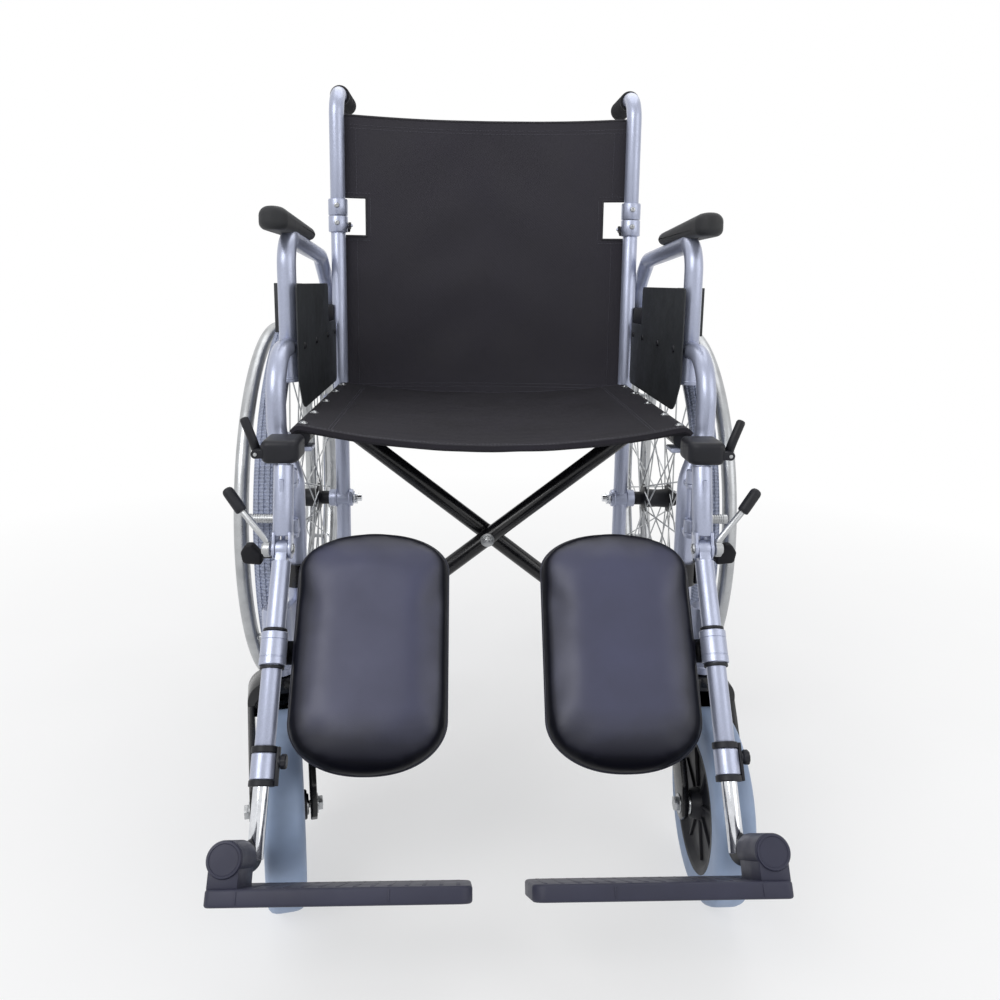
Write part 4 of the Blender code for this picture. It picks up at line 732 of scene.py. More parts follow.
def side_frame(side, word):
    """Bent side tubes with their welds, stem housing, arm socket and hinge pins."""
    at = places(side)
    stem_low, stem_high = 0.2245, 0.300
    parts = [
        pipe([at(RAIL_X, 0.0, RAIL_Z), at(RAIL_X, -0.390, RAIL_Z), at(RAIL_X, -0.390, 0.480),
              at(FRONT_POST_X, FRONT_POST_Y, 0.432), at(FRONT_POST_X, FRONT_POST_Y, 0.254)],
             [0.055, 0.04, 0.04], TUBE_R, 32, 14),
        pipe([at(POST_X, 0.0, LOWER_RAIL_Z - 0.004), at(POST_X, 0.0, POST_STRAIGHT_Z),
              at(POST_X, POST_TOP_Y, HINGE_Z - HINGE_GAP)], [0.3], TUBE_R, 32, 4),
        pipe([at(LOWER_RAIL_X, 0.095, LOWER_RAIL_Z), at(LOWER_RAIL_X, -0.262, LOWER_RAIL_Z),
              at(FRONT_POST_X, FRONT_POST_Y, 0.262)], [0.022], TUBE_R, 32, 8),
        turned([(0.0086, stem_low), (0.0150, stem_low), (0.0172, stem_low + 0.0012),
                (0.0172, stem_low + 0.0085), (0.0160, stem_low + 0.0097),
                (0.0160, stem_high - 0.0040), (0.0145, stem_high), (0.0, stem_high + 0.0012),
                (0.0, stem_high - 0.004), (0.0086, stem_high - 0.006)],
               at(STEM_X, STEM_Y, 0.0), (0, 0, 1), 40)]
    reach = Vector((STEM_X - FRONT_POST_X, STEM_Y - FRONT_POST_Y, 0.0))
    turn = Matrix.Rotation(math.atan2(side * reach.x, -reach.y), 4, "Z")
    socket = [(0.0117, 0.529), (0.0125, 0.529), (0.0140, 0.5305), (0.0140, 0.5755),
              (0.0136, 0.577), (0.0117, 0.577)]
    hinge = at(POST_X, POST_TOP_Y + HINGE_BACK, HINGE_Z)
    post_end = at(POST_X, POST_TOP_Y, HINGE_Z - HINGE_GAP)
    parts += [
        box(at((STEM_X + FRONT_POST_X) / 2, (STEM_Y + FRONT_POST_Y) / 2,
               (stem_low + stem_high) / 2 + 0.002), (0.010, reach.length, 0.058), turn, 0.002),
        rod(at(POST_X - 0.0155, 0, WHEEL_R), at(POST_X + 0.0215, 0, WHEEL_R), 0.0135, 36,
            soft=0.001),
        turned(socket, at(RAIL_X, ARM_FRONT_Y, 0.0), (0, 0, 1), 36),
        turned([(0.0112, -0.0236), (0.0138, -0.0236), (COLLAR_R, -0.0225),
                (COLLAR_R, -0.0010), (0.0138, 0.0), (0.0, 0.0), (0.0, -0.004),
                (0.0112, -0.005)], post_end, POST_UP, 36),
        cross_pin(hinge, 0.0045, 0.0042, 20, 0.0004),
        box(hinge + Vector((0, -0.0055, -0.0062)), (0.0086, 0.011, 0.012)),
        (collar_screw(post_end - POST_UP * 0.010), 1),
        rod(at(POST_X - 0.011, post_y(RELEASE_Z), RELEASE_Z),
            at(POST_X - 0.0215, post_y(RELEASE_Z), RELEASE_Z), 0.0020, 14, soft=0.0004)]
    for y in (-0.387, -0.0645):
        parts += [box(at(0.2209, y, SEAT_TUBE_Z - 0.0142), (0.0362, 0.026, 0.0056),
                      soft=0.0016),
                  box(at(0.2330, y, SEAT_TUBE_Z - 0.0080), (0.0120, 0.026, 0.0180),
                      soft=0.0016)]
    parts.append(box(at(POST_X + 0.004, -0.030, SEAT_TUBE_Z - 0.0105), (0.010, 0.050, 0.0160),
                     soft=0.002))
    for lug_top in LUG_TOPS:
        lug = lug_top - 0.006
        parts += [box(at(FRONT_POST_X, (FRONT_POST_Y + SWING_Y) / 2, lug + 0.0028),
                      (0.013, 0.027, 0.0052), soft=0.0008),
                  rod(at(FRONT_POST_X, SWING_Y, lug), at(FRONT_POST_X, SWING_Y, lug + 0.0056),
                      0.0080, 28, soft=0.0006),
                  rod(at(FRONT_POST_X, SWING_Y, lug + 0.003),
                      at(FRONT_POST_X, SWING_Y, lug + 0.0201), 0.0040, 20, soft=0.0008),
                  weld(at(FRONT_POST_X, FRONT_POST_Y - 0.0108, lug + 0.0028), (0, 1, 0),
                       0.0050, 0.0013)]
    for bead_at, axis, major in (
            (at(RAIL_X, -0.0100, RAIL_Z), (0, 1, 0), TUBE_R),
            (at(LOWER_RAIL_X + 0.003, 0.0, LOWER_RAIL_Z + 0.0100), (0, 0, 1), TUBE_R),
            (at(FRONT_POST_X, FRONT_POST_Y, 0.272), (0, 0, 1), TUBE_R),
            (at(RAIL_X, ARM_FRONT_Y, 0.5335), (0, 0, 1), 0.0137),
            (at(POST_X + 0.0105, 0, WHEEL_R), (1, 0, 0), 0.0132),
            (at(POST_X - 0.0105, 0, WHEEL_R), (1, 0, 0), 0.0132)):
        parts.append(weld(bead_at, axis, major))
    plug = [(0.0, 0.0), (0.0108, 0.0), (0.0113, 0.0010), (0.0113, 0.0035), (0.0095, 0.0050),
            (0.0, 0.0054)]
    for end, way in ((at(LOWER_RAIL_X, 0.0946, LOWER_RAIL_Z), (0, 1, 0)),
                     (at(POST_X, 0.0, LOWER_RAIL_Z - 0.0036), (0, 0, -1))):
        parts.append((turned(plug, end, way, 32, closed=False), 2))
    side_piece(word, "frame_tubes", "frame", "silver satin rubber", parts, "side_frame")


def arm_bracket(side, word):
    """Moulded clamp on the back post that the arm's rear end turns in."""
    at = places(side)
    _, pivot_y, pivot_z = ARM_PIVOT
    low, high = pivot_z - 0.005, pivot_z + 0.022
    inner, outer = 0.2300, 0.2500
    parts = [box(at((inner + outer) / 2, 0.0040, (low + high) / 2),
                 (outer - inner, 0.029, high - low), soft=0.003)]
    for x0, x1 in ((inner + 0.0008, 0.2363), (0.2437, outer - 0.0006)):
        parts += [box(at((x0 + x1) / 2, 0.0240, pivot_z + 0.001),
                      (x1 - x0 - 0.0004, 0.020, 0.022), soft=0.0012),
                  rod(at(x0, pivot_y, pivot_z), at(x1, pivot_y, pivot_z), 0.012, 36,
                      soft=0.001)]
    parts += [(rod(at(inner + 0.001, pivot_y, pivot_z), at(outer + 0.001, pivot_y, pivot_z),
                   0.0035, 20), 1),
              (bolt_head(at(outer - 0.0006, pivot_y, pivot_z), (side, 0, 0), 0.0060, 0.0032),
               1)]
    for z in (low + 0.007, high - 0.007):
        parts.append((bolt_head(at(outer, -0.001, z), (side, 0, 0), 0.0034, 0.002), 1))
    side_piece(word, "arm_bracket", "frame", "nylon_part satin", parts, "arm_hinge_bracket")


def folding_cross():
    """Both diagonals with their seat tubes and sleeves, and the bolt at the crossing."""
    middle = (SEAT_TUBE_Z + LOWER_RAIL_Z) / 2
    tube_front, tube_rear = -0.400, -0.036
    sleeve = [(0.0117, -0.028), (0.0140, -0.028), (0.0146, -0.0272), (0.0146, 0.0272),
              (0.0140, 0.028), (0.0117, 0.028)]
    cap = [(0.0, 0.0), (0.0100, 0.0), (0.0109, 0.0008), (0.0109, 0.0020), (0.0, 0.0026)]
    for foot, offset, letter in ((1, CROSS_APART, "a"), (-1, -CROSS_APART, "b")):
        y = CROSS_Y + offset
        head = place(-foot * SEAT_TUBE_X, y, SEAT_TUBE_Z)
        foot_at = place(foot * LOWER_RAIL_X, y, LOWER_RAIL_Z)
        way = (head - foot_at).normalized()
        bolt_at = place(0, y, middle)
        front_end = place(-foot * SEAT_TUBE_X, tube_front, SEAT_TUBE_Z)
        parts = [
            pipe([foot_at + way * 0.010, head - way * 0.004], [], TUBE_R, 32, cap=0),
            turned(sleeve, place(foot * LOWER_RAIL_X, CROSS_Y, LOWER_RAIL_Z), (0, 1, 0), 36),
            pipe([front_end, place(-foot * SEAT_TUBE_X, tube_rear, SEAT_TUBE_Z)], [], TUBE_R,
                 32),
            weld(foot_at + way * 0.0150, way, TUBE_R, 0.0018),
            weld(head - way * 0.0115, way, TUBE_R, 0.0018),
            rod(bolt_at - Vector((0, 0.0116, 0)), bolt_at + Vector((0, 0.0116, 0)), 0.0085,
                28, soft=0.0008),
            (turned(cap, front_end, (0, -1, 0), 32, closed=False), 1)]
        piece(f"cross_tube_{letter}_enamelled", f"cross_{letter}", "black nylon_part", parts,
              [f"cross_tube_{letter}"])
    front = place(0, CROSS_Y - CROSS_APART - 0.0118, middle)
    back = place(0, CROSS_Y + CROSS_APART + 0.0118, middle)
    parts = [rod(front, back, 0.0040, 20),
             rod(place(0, CROSS_Y - 0.0016, middle), place(0, CROSS_Y + 0.0016, middle),
                 0.0080, 28),
             *hex_head(front, (0, -1, 0), 0.0070, 0.0055, 0.0022),
             *hex_head(back, (0, 1, 0), 0.0068, 0.0058, 0.0022),
             bolt_head(front + Vector((0, -0.0052, 0)), (0, -1, 0), 0.0042, 0.0012,
                       recess=False)]
    piece("cross_pivot_bolt", "cross_a", "satin", parts, ["cross_bolt"])


# Wheels
def wheel_spokes(side, word):
    """Hub, laced spokes with nipples and a rolled rim, on the quick-release axle."""
    centre, axis = place(side * WHEEL_X, 0.0, WHEEL_R), (side, 0, 0)
    inner_r, half = RIM_R - 0.014, RIM_HALF
    edge = [(inner_r, 0.0050), (inner_r + 0.0040, 0.0095), (inner_r + 0.0065, half - 0.0006),
            (RIM_R - 0.0014, half), (RIM_R - 0.0002, half - 0.0012),
            (RIM_R - 0.0006, half - 0.003)]
    well = mirrored(edge)
    rim = [well[-1], (inner_r - 0.0004, 0.0), *edge, *well[:-1]]
    flange = [(0.0165, 0.0176), (0.0226, 0.0184), (0.0230, 0.0189), (0.0230, 0.0211),
              (0.0226, 0.0216)]
    bore, low, high = 0.0063, -0.0366, HUB_OUTER
    hub = [(bore, low), (0.0098, low), (0.0105, low + 0.0008), (0.0105, -0.0245),
           (0.0140, -0.0222), *mirrored(flange), (0.0150, -0.0150), (0.0140, 0.0),
           (0.0150, 0.0150), *flange, (0.0140, 0.0222), (0.0125, 0.0240),
           (0.0125, high - 0.0008), (0.0118, high), (bore, high)]
    parts = [turned(rim, centre, axis, 144), (turned(hub, centre, axis, 64), 2)]
    spoke_r = bpy.context.scene.chair_sizes.spoke_radius
    for index in range(SPOKES):
        flange_side = 1 if index % 2 else -1
        lead = 1 if (index // 2) % 2 else -1
        outer_turn = 2 * math.pi * index / SPOKES
        inner_turn = outer_turn + lead * SPOKE_SLANT
        head = (centre + wheel_way(inner_turn) * 0.0205
                + Vector((side * (flange_side * 0.020 + 0.0016 * lead), 0, 0)))
        out = wheel_way(outer_turn)
        foot = centre + out * inner_r + Vector((side * flange_side * 0.0025, 0, 0))
        parts += [(rod(head, foot, spoke_r, 8), 0),
                  (rod(foot - (foot - head).normalized() * 0.012, foot + out * 0.001, 0.0017,
                       8), 1)]
    side_piece(word, "spoked_wheel", "rear_wheel", "satin chrome nylon_part", parts,
               "rear_wheel")


def wheel_tyre(side, word):
    """Solid tyre with a grooved, knurled tread and ribbed sidewalls."""
    centre = place(side * WHEEL_X, 0.0, WHEEL_R)
    seat = RIM_R + FIT
    half = [(seat, 0.0118), (seat + 0.0030, 0.0135), (seat + 0.0050, 0.0128),
            (seat + 0.0075, 0.0152), (seat + 0.0130, 0.0168), (seat + 0.0170, 0.0165),
            (seat + 0.0200, 0.0152), (seat + 0.0206, 0.0136), (seat + 0.0246, 0.0120),
            (WHEEL_R - 0.0008, 0.0085), (WHEEL_R - 0.0022, 0.0078), (WHEEL_R - 0.0022, 0.0062),
            (WHEEL_R - 0.0002, 0.0055), (WHEEL_R, 0.0018), (WHEEL_R - 0.0016, 0.0010)]
    bm = turned(half + mirrored(half), (0, 0, 0), (0, 0, 1), TYRE_STEPS)
    for vert in bm.verts:
        radius = vert.co.xy.length
        if abs(vert.co.z) > 0.0140 or radius < seat + 0.018:
            continue
        turn = math.atan2(vert.co.y, vert.co.x)
        step = round(turn / (2 * math.pi) * TYRE_STEPS)
        row = int(abs(vert.co.z) / TREAD_ROW)
        if (step + row) % 2 == 0:
            vert.co.xy *= 1 - TREAD_CUT / radius
    bmesh.ops.transform(bm, matrix=Matrix.Translation(centre) @ aim((side, 0, 0)),
                        verts=bm.verts)
    side_piece(word, "solid_tyre", "rear_wheel", "tyre", [bm], "rear_tyre", sharp=30)


def push_ring(side, word):
    """Handrim on stand-offs that meet the rim."""
    middle = place(side * HANDRIM_X, 0, WHEEL_R)
    parts = [hoop(middle, (side, 0, 0), HANDRIM_R, 0.0095, 160, 24)]
    for index in range(STANDOFFS):
        out = wheel_way(2 * math.pi * (index + 0.5) / STANDOFFS)
        foot = place(side * (WHEEL_X + RIM_HALF + 0.001), 0, WHEEL_R) + out * (RIM_R - 0.0045)
        head = middle + out * HANDRIM_R
        way = (head - foot).normalized()
        parts += [rod(foot, head, 0.0035, 20),
                  rod(foot - Vector((side * 0.0008, 0, 0)), foot + way * 0.003, 0.0052, 24,
                      soft=0.0005),
                  weld(head - way * 0.0092, way, 0.0036, 0.0013)]
    side_piece(word, "push_ring", "rear_wheel", "satin", parts, "handrim")


def quick_axle(side, word):
    """Quick-release axle: nut inside the post, ringed cap and button outside."""
    at = places(side)
    out = WHEEL_X + HUB_OUTER
    cap = [(0.0, 0.0004), (0.0110, 0.0004), (0.0116, 0.0012), (0.0116, 0.0030),
           (0.0104, 0.0042), (0.0062, 0.0050), (0.0054, 0.0040), (0.0044, 0.0040),
           (0.0040, 0.0056), (0.0, 0.0060)]
    parts = [rod(at(0.193, 0, WHEEL_R), at(out + 0.003, 0, WHEEL_R), 0.0058, 28, soft=0.0008),
             rod(at(POST_X - 0.0230, 0, WHEEL_R), at(POST_X - 0.0158, 0, WHEEL_R), 0.0105, 6,
                 soft=0.0008),
             turned(cap, at(out, 0, WHEEL_R), (side, 0, 0), 40, closed=False)]
    side_piece(word, "quick_axle", "frame", "chrome", parts, "rear_axle")


# Casters
FORK_LOW, FORK_HIGH = 0.2065, 0.2235


def caster_fork(side, word):
    """Pressed fork with rounded arms, its stem and the axle bolt with its nuts."""
    inner, outer = 0.0275, 0.0345
    foot = FORK_LOW - 0.024
    spin = Matrix.Rotation(CASTER_TURN[side], 4, "Z")
    arch = rounded([(-outer, foot), (-outer, FORK_HIGH - 0.001), (outer, FORK_HIGH - 0.001),
                    (outer, foot), (inner, foot), (inner, FORK_LOW), (-inner, FORK_LOW),
                    (-inner, foot)],
                   [0.001, 0.023, 0.023, 0.001, 0.001, 0.015, 0.015, 0.001], 10)
    upright = (Matrix.Translation(caster_point(side, 0, 0.0005, 0)) @ spin
               @ Matrix.Rotation(math.radians(90), 4, "X"))
    parts = [rod(caster_point(side, 0, 0, FORK_HIGH - 0.001), caster_point(side, 0, 0, 0.2915),
                 0.008, 28, soft=0.0008),
             rod(caster_point(side, 0, 0, FORK_LOW + 0.004),
                 caster_point(side, 0, 0, FORK_HIGH), 0.0205, 44, soft=0.0020),
             plate(arch, 0.0385, upright, 0.0016)]
    plane = Matrix(((0, 0, 1, 0), (-1, 0, 0, 0), (0, 1, 0, 0), (0, 0, 0, 1)))
    arm = rounded([(-0.019, FORK_LOW - 0.010), (0.020, FORK_LOW - 0.010),
                   (0.030, FORK_LOW - 0.022), (0.074, 0.126), (0.080, 0.094), (0.071, 0.084),
                   (0.055, 0.084), (0.047, 0.100), (-0.006, FORK_LOW - 0.034)],
                  [0.001, 0.001, 0.03, 0.012, 0.006, 0.006, 0.006, 0.02, 0.02])
    for sign in (-1, 1):
        middle = Matrix.Translation(caster_point(side, sign * (inner + outer) / 2, 0, 0))
        parts.append(plate(arm, 0.007, middle @ spin @ plane, 0.0018))
        face = caster_point(side, sign * outer, CASTER_TRAIL, CASTER_R)
        away = spin.to_3x3() @ Vector((side * sign, 0, 0))
        parts += [(bm, 1) for bm in hex_head(face, away, 0.0080, 0.0060, 0.0022)]
    ends = [caster_point(side, sign * (outer + 0.0064), CASTER_TRAIL, CASTER_R)
            for sign in (-1, 1)]
    parts.append((rod(*ends, 0.0038, 20, soft=0.0006), 1))
    side_piece(word, "fork", "caster_fork", "black satin", parts, "caster_fork")


def caster_parts(side, word):
    """Dished caster centre with ribs round its hub, and its smooth tyre."""
    centre = caster_point(side, 0, CASTER_TRAIL, CASTER_R)
    spin = Matrix.Rotation(CASTER_TURN[side], 3, "Z")
    axis = spin @ Vector((side, 0, 0))
    half = 0.020
    dish = [(0.0044, -half - 0.004), (0.0140, -half - 0.004), (0.0150, -half - 0.003),
            (0.0170, -half + 0.0068), (0.0200, -half + 0.0080), (0.0560, -half + 0.0080),
            (0.0590, -half + 0.0068), (0.0640, -half + 0.0018), (0.0655, -half + 0.001),
            (CASTER_HUB_R, -half + 0.001)]
    washer = [(0.0044, 0.0), (0.0105, 0.0), (0.0110, 0.0006), (0.0104, 0.0022),
              (0.0044, 0.0024)]
    parts = [turned(dish + mirrored(dish), centre, axis, 96)]
    for sign in (-1, 1):
        for index in range(CASTER_RIBS):
            turn = 2 * math.pi * (index + 0.5) / CASTER_RIBS
            rib = wheel_way(turn) * 0.0375 + Vector((sign * (half - 0.0078), 0, 0))
            parts.append(box(centre + spin @ rib, (0.0052, 0.0400, 0.0032),
                             spin.to_4x4() @ Matrix.Rotation(turn, 4, "X")))
        parts.append((turned(washer, centre + axis * sign * (half + 0.0036), axis * sign, 36),
                      1))
    side_piece(word, "caster_centre", "caster_wheel", "nylon_part satin", parts,
               "caster_wheel")
    seat = CASTER_HUB_R + FIT
    tread = [(seat, -0.0190), (seat + 0.004, -0.0196), (0.0850, -0.0200), (0.0900, -0.0197),
             (0.0948, -0.0180), (0.0982, -0.0150), (0.0996, -0.0110), (CASTER_R, -0.0060)]
    tyre = turned([*tread, (CASTER_R, 0.0), *mirrored(tread)], centre, axis, 144)
    side_piece(word, "caster_rubber", "caster_wheel", "caster", [tyre], "caster_tyre")


# Back posts and handles
def upper_back(side, word):
    """Folding top of a back post with its sleeve, hinge ears and bent handle."""
    at = places(side)
    start = at(POST_X, post_y(HINGE_Z + HINGE_GAP), HINGE_Z + HINGE_GAP)
    bend_y = post_y(HANDLE_Z)
    hinge = at(POST_X, POST_TOP_Y + HINGE_BACK, HINGE_Z)
    parts = [
        pipe([start, at(POST_X, bend_y, HANDLE_Z),
              at(POST_X, bend_y + HANDLE_LENGTH, HANDLE_Z)], [0.038], TUBE_R, 32, 16),
        turned([(0.0, 0.0), (0.0138, 0.0), (COLLAR_R, 0.0010), (COLLAR_R, 0.0225),
                (0.0138, 0.0240), (0.0112, 0.0240), (0.0112, 0.0100), (0.0, 0.0100)],
               start, POST_UP, 36)]
    for sign in (-1, 1):
        ear = hinge + Vector((sign * 0.0085, 0, 0))
        parts += [rod(hinge + Vector((sign * 0.0049, 0, 0)), ear, 0.0042, 20, soft=0.0004),
                  box(hinge + Vector((sign * 0.0067, -0.0040, 0.0072)),
                      (0.0034, 0.0075, 0.0128), soft=0.0005),
                  (bolt_head(ear, (sign, 0, 0), 0.0026, 0.0014), 1)]
    parts += [(cross_pin(hinge, 0.0090, 0.0016, 14), 1),
              (collar_screw(start + POST_UP * 0.0145), 1)]
    side_piece(word, "handle_tube", "upper_back", "silver satin", parts, "upper_back_post")
    profile = [(0.0, 0.0885), (0.0113, 0.0885), (0.0113, 0.0), (0.0128, 0.0),
               (0.0148, 0.0012), (0.0150, 0.0050), (0.0140, 0.0075)]
    for index in range(13):
        ring = 0.0105 + index * 0.0055
        profile += [(0.0141, ring - 0.0010), (0.0149, ring), (0.0150, ring + 0.0016),
                    (0.0141, ring + 0.0028)]
    profile += [(0.0141, 0.0820), (0.0150, 0.0840), (0.0150, 0.0880), (0.0142, 0.0905),
                (0.0120, 0.0918), (0.0, 0.0922)]
    grip = turned(profile, at(POST_X, bend_y + HANDLE_LENGTH - GRIP_REACH, HANDLE_Z), (0, 1, 0),
                  48, closed=False)
    side_piece(word, "handle_grip", "upper_back", "rubber", [grip], "push_grip")


def back_release(side, word):
    """Small lever inside the lower sleeve that frees the folding back."""
    y, near, far = post_y(RELEASE_Z), side * (POST_X - 0.0152), side * (POST_X - 0.0192)
    parts = [rod(place(near, y, RELEASE_Z), place(far, y, RELEASE_Z), 0.0050, 28, soft=0.0006),
             box(place((near + far) / 2, y - 0.0065, RELEASE_Z - 0.0045),
                 (0.0036, 0.015, 0.0058), Matrix.Rotation(math.radians(30), 4, "X"), 0.0012)]
    side_piece(word, "back_release", "back_lever", "nylon_part", parts, "back_fold_lever")


# Arms
def arm_tube(side, word):
    """Bent arm tube, flattened to a tongue at its rear pivot."""
    at = places(side)
    pivot = at(*ARM_PIVOT)
    parts = [pipe([at(RAIL_X, ARM_FRONT_Y, 0.5775),
                   at(RAIL_X, ARM_FRONT_Y, ARM_FRONT_TOP - ARM_DROP),
                   at(0.2485, ARM_REAR_Y, ARM_REAR_TOP - ARM_DROP),
                   at(0.2455, 0.024, 0.652 - ARM_DROP / 2), at(0.240, 0.033, 0.6045)],
                  [0.035, 0.035, 0.040], TUBE_R, 32, 14),
             box(pivot + Vector((0, 0, 0.0115)), (0.0046, 0.017, 0.023), soft=0.001),
             cross_pin(pivot, 0.0030, 0.0105, 32, 0.0006)]
    side_piece(word, "arm_tube", "arm", "silver", parts, "arm_frame")


def arm_pad(side, word):
    """Crowned foam pad, thick and rounded in front and thinner towards the rear."""
    node_low, node_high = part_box(f"{word}_arm_pad")
    front, rear, thick = -0.345, -0.130, 0.026
    slope = (ARM_REAR_TOP - ARM_FRONT_TOP) / (ARM_REAR_Y - ARM_FRONT_Y)
    middle_y = (front + rear) / 2
    top_z = ARM_FRONT_TOP - ARM_DROP + slope * (middle_y - ARM_FRONT_Y) + TUBE_R + 0.0185
    half_length = (rear - front) / 2
    half_width = (node_high[0] - node_low[0]) / 2 - ARM_PAD_TRIM
    bm = plate(rounded([(-half_width, -half_length), (half_width, -half_length),
                        (half_width, half_length), (-half_width, half_length)],
                       [0.016, 0.016, 0.011, 0.011], 8), thick, Matrix.Identity(4), 0.0085, 6)
    for vert in bm.verts:
        back = (vert.co.y + half_length) / (2 * half_length)
        across = vert.co.x / half_width
        if vert.co.z > 0:
            vert.co.z -= 0.0022 * across * across + 0.0030 * max(0.0, back - 0.55)
        else:
            vert.co.z += 0.0070 * min(1.0, max(0.0, back * 1.3))
            vert.co.z -= 0.0016 * math.exp(-((back - 0.10) / 0.12) ** 2)
    turn = Matrix.Rotation(math.atan(slope), 4, "X")
    centre = place((node_low[0] + node_high[0]) / 2 - side * ARM_PAD_TRIM, middle_y,
                   top_z - thick / 2)
    bmesh.ops.transform(bm, matrix=Matrix.Translation(centre) @ turn, verts=bm.verts)
    pad = side_piece(word, "foam_pad", "arm", "foam", [bm], "arm_pad", 60)


def side_guard(side, word):
    """Plastic skirt guard with its flange and fixing screws."""
    at = places(side)
    x, flange_x, top = 0.2277, 0.2615, 0.646
    outline = rounded([(-0.330, top), (-0.330, 0.535), (-0.300, 0.495), (-0.0135, 0.495),
                       (-0.0135, 0.588), (-0.086, 0.588), (-0.086, 0.643)],
                      [0.006, 0.030, 0.030, 0.010, 0.006, 0.004, 0.008], 8)
    parts = [side_plate(outline, 0.002, side * x, 0.0007),
             box(at((x + flange_x) / 2, -0.2892, (top + 0.5865) / 2), (0.0338, 0.002, 0.0589),
                 soft=0.0006)]
    for y in (-0.290, -0.200, -0.100, -0.030):
        parts.append((bolt_head(at(x - 0.001, y, RAIL_Z), (-side, 0, 0), 0.0042, 0.0020), 1))
    side_piece(word, "side_guard", "frame", "panel nylon_part", parts, "side_panel")


# Legrests
def leg_box(x, along, forward, size, soft=0.0008):
    """A block square to the leg: its width, depth and length along the leg."""
    return box(leg_point(x, along, forward), size, LEG_TURN, soft)


def hanger(side, word):
    """Short tube with the swing-away hinge above and the knee's fork below."""
    x = side * LEG_X
    knee = leg_point(x, 0.0)
    top = place(x, -0.461, 0.4605)
    up = (top - knee).normalized()
    lean = Matrix.Rotation(math.atan2(-up.y, up.z), 4, "X")
    parts = [rod(knee + up * 0.0138, top, 0.0105, 36, soft=0.0014)]
    for sign in (-1, 1):
        near, far = Vector((sign * 0.0067, 0, 0)), Vector((sign * 0.0099, 0, 0))
        parts += [rod(knee + near, knee + far, 0.0103, 36, soft=0.0005),
                  box(knee + (near + far) / 2 + up * 0.0085, (0.0030, 0.0170, 0.0180), lean,
                      0.0006)]
    low, high = LUG_TOPS
    parts += [rod(knee - Vector((side * 0.0115, 0, 0)), knee + Vector((side * 0.0214, 0, 0)),
                  0.0030, 20),
              (bolt_head(knee + Vector((side * 0.0194, 0, 0)), (side, 0, 0), 0.0060, 0.0024),
               1),
              (bolt_head(knee - Vector((side * 0.0099, 0, 0)), (-side, 0, 0), 0.0055, 0.0024),
               1),
              box(place(x, (HANGER_Y + SWING_Y) / 2, (low + high + 0.0145) / 2),
                  (0.0044, SWING_Y - HANGER_Y, high - low + 0.0130))]
    for z in LUG_TOPS:
        parts.append(collar(0.0042, 0.0085, 0.0150, 0.0007, place(x, SWING_Y, z), (0, 0, 1),
                            32))
    side_piece(word, "hanger_tube", "hanger", "silver satin", parts, "legrest_hanger")


def latch_block(side, word):
    """Moulded block over the hanger with two ears and the latch's pin."""
    at = places(side)
    low, high = 0.4633, 0.4880
    outline = rounded([(0.205, -0.474), (0.244, -0.474), (0.244, -0.427), (0.205, -0.427)],
                      [0.012, 0.008, 0.006, 0.006], 8)
    x, z = LATCH_PIVOT
    parts = [plate([at(p.x, p.y, 0.0) for p in outline], high - low,
                   Matrix.Translation((0, 0, (low + high) / 2)), 0.0062, 6)]
    for y0, y1 in ((-0.4722, -0.4686), (-0.4474, -0.4438)):
        parts += [rod(at(x, y0, z), at(x, y1, z), 0.0047, 28, soft=0.0004),
                  box(at(x - 0.0035, (y0 + y1) / 2, z), (0.009, y1 - y0 - 0.0002, 0.0090),
                      soft=0.0005)]
    parts.append((rod(at(x, LATCH_Y - 0.015, z), at(x, LATCH_Y + 0.015, z), 0.0020, 18,
                      soft=0.0003), 1))
    side_piece(word, "latch_block", "hanger", "nylon_part satin", parts, "latch_housing")


def latch_lever(side, word):
    """Bent lever that frees the legrest to swing away."""
    at = places(side)
    x, z = LATCH_PIVOT
    parts = [collar(0.0023, 0.0044, 0.0204, 0.0004, at(x, LATCH_Y - 0.0102, z), (0, 1, 0), 28),
             pipe([at(x + 0.001, LATCH_Y, z), at(0.2545, LATCH_Y, 0.487),
                   at(0.2632, -0.457, 0.510)], [0.01], 0.0048, 20, 6, 0.0030)]
    side_piece(word, "latch_handle", "latch_lever", "nylon_part", parts, "legrest_latch")


def outer_leg(side, word):
    """Outer leg tube with its knee eye, stop rings and flared mouth."""
    x = side * LEG_X
    knee = leg_point(x, 0.0)
    parts = [turned([(LEG_BORE, 0.060), (LEG_BORE, LEG_END), (LEG_R - 0.0004, LEG_END),
                     (LEG_R, LEG_END - 0.0006), (LEG_R, 0.0145), (0.0, 0.0145), (0.0, 0.060)],
                    knee, LEG_DOWN, 40, closed=False),
             cross_pin(knee, 0.0062, 0.0096, 36, 0.0005),
             leg_box(x, 0.0105, 0.0, (0.0120, 0.0150, 0.0190), 0.0012)]
    for start in (CALF_AT - 0.0200, CALF_AT + 0.0168):
        parts.append((collar(0.0094, 0.0120, 0.0032, 0.0006, leg_point(x, start), LEG_DOWN), 1))
    parts.append(turned([(0.0094, 0.0), (0.0112, 0.0), (0.0117, 0.0006), (0.0117, 0.0228),
                         (0.0112, 0.0234), (0.0094, 0.0234)],
                        leg_point(x, 0.2024), LEG_DOWN, 40))
    side_piece(word, "outer_leg", "leg", "silver nylon_part", parts, "leg_tube")


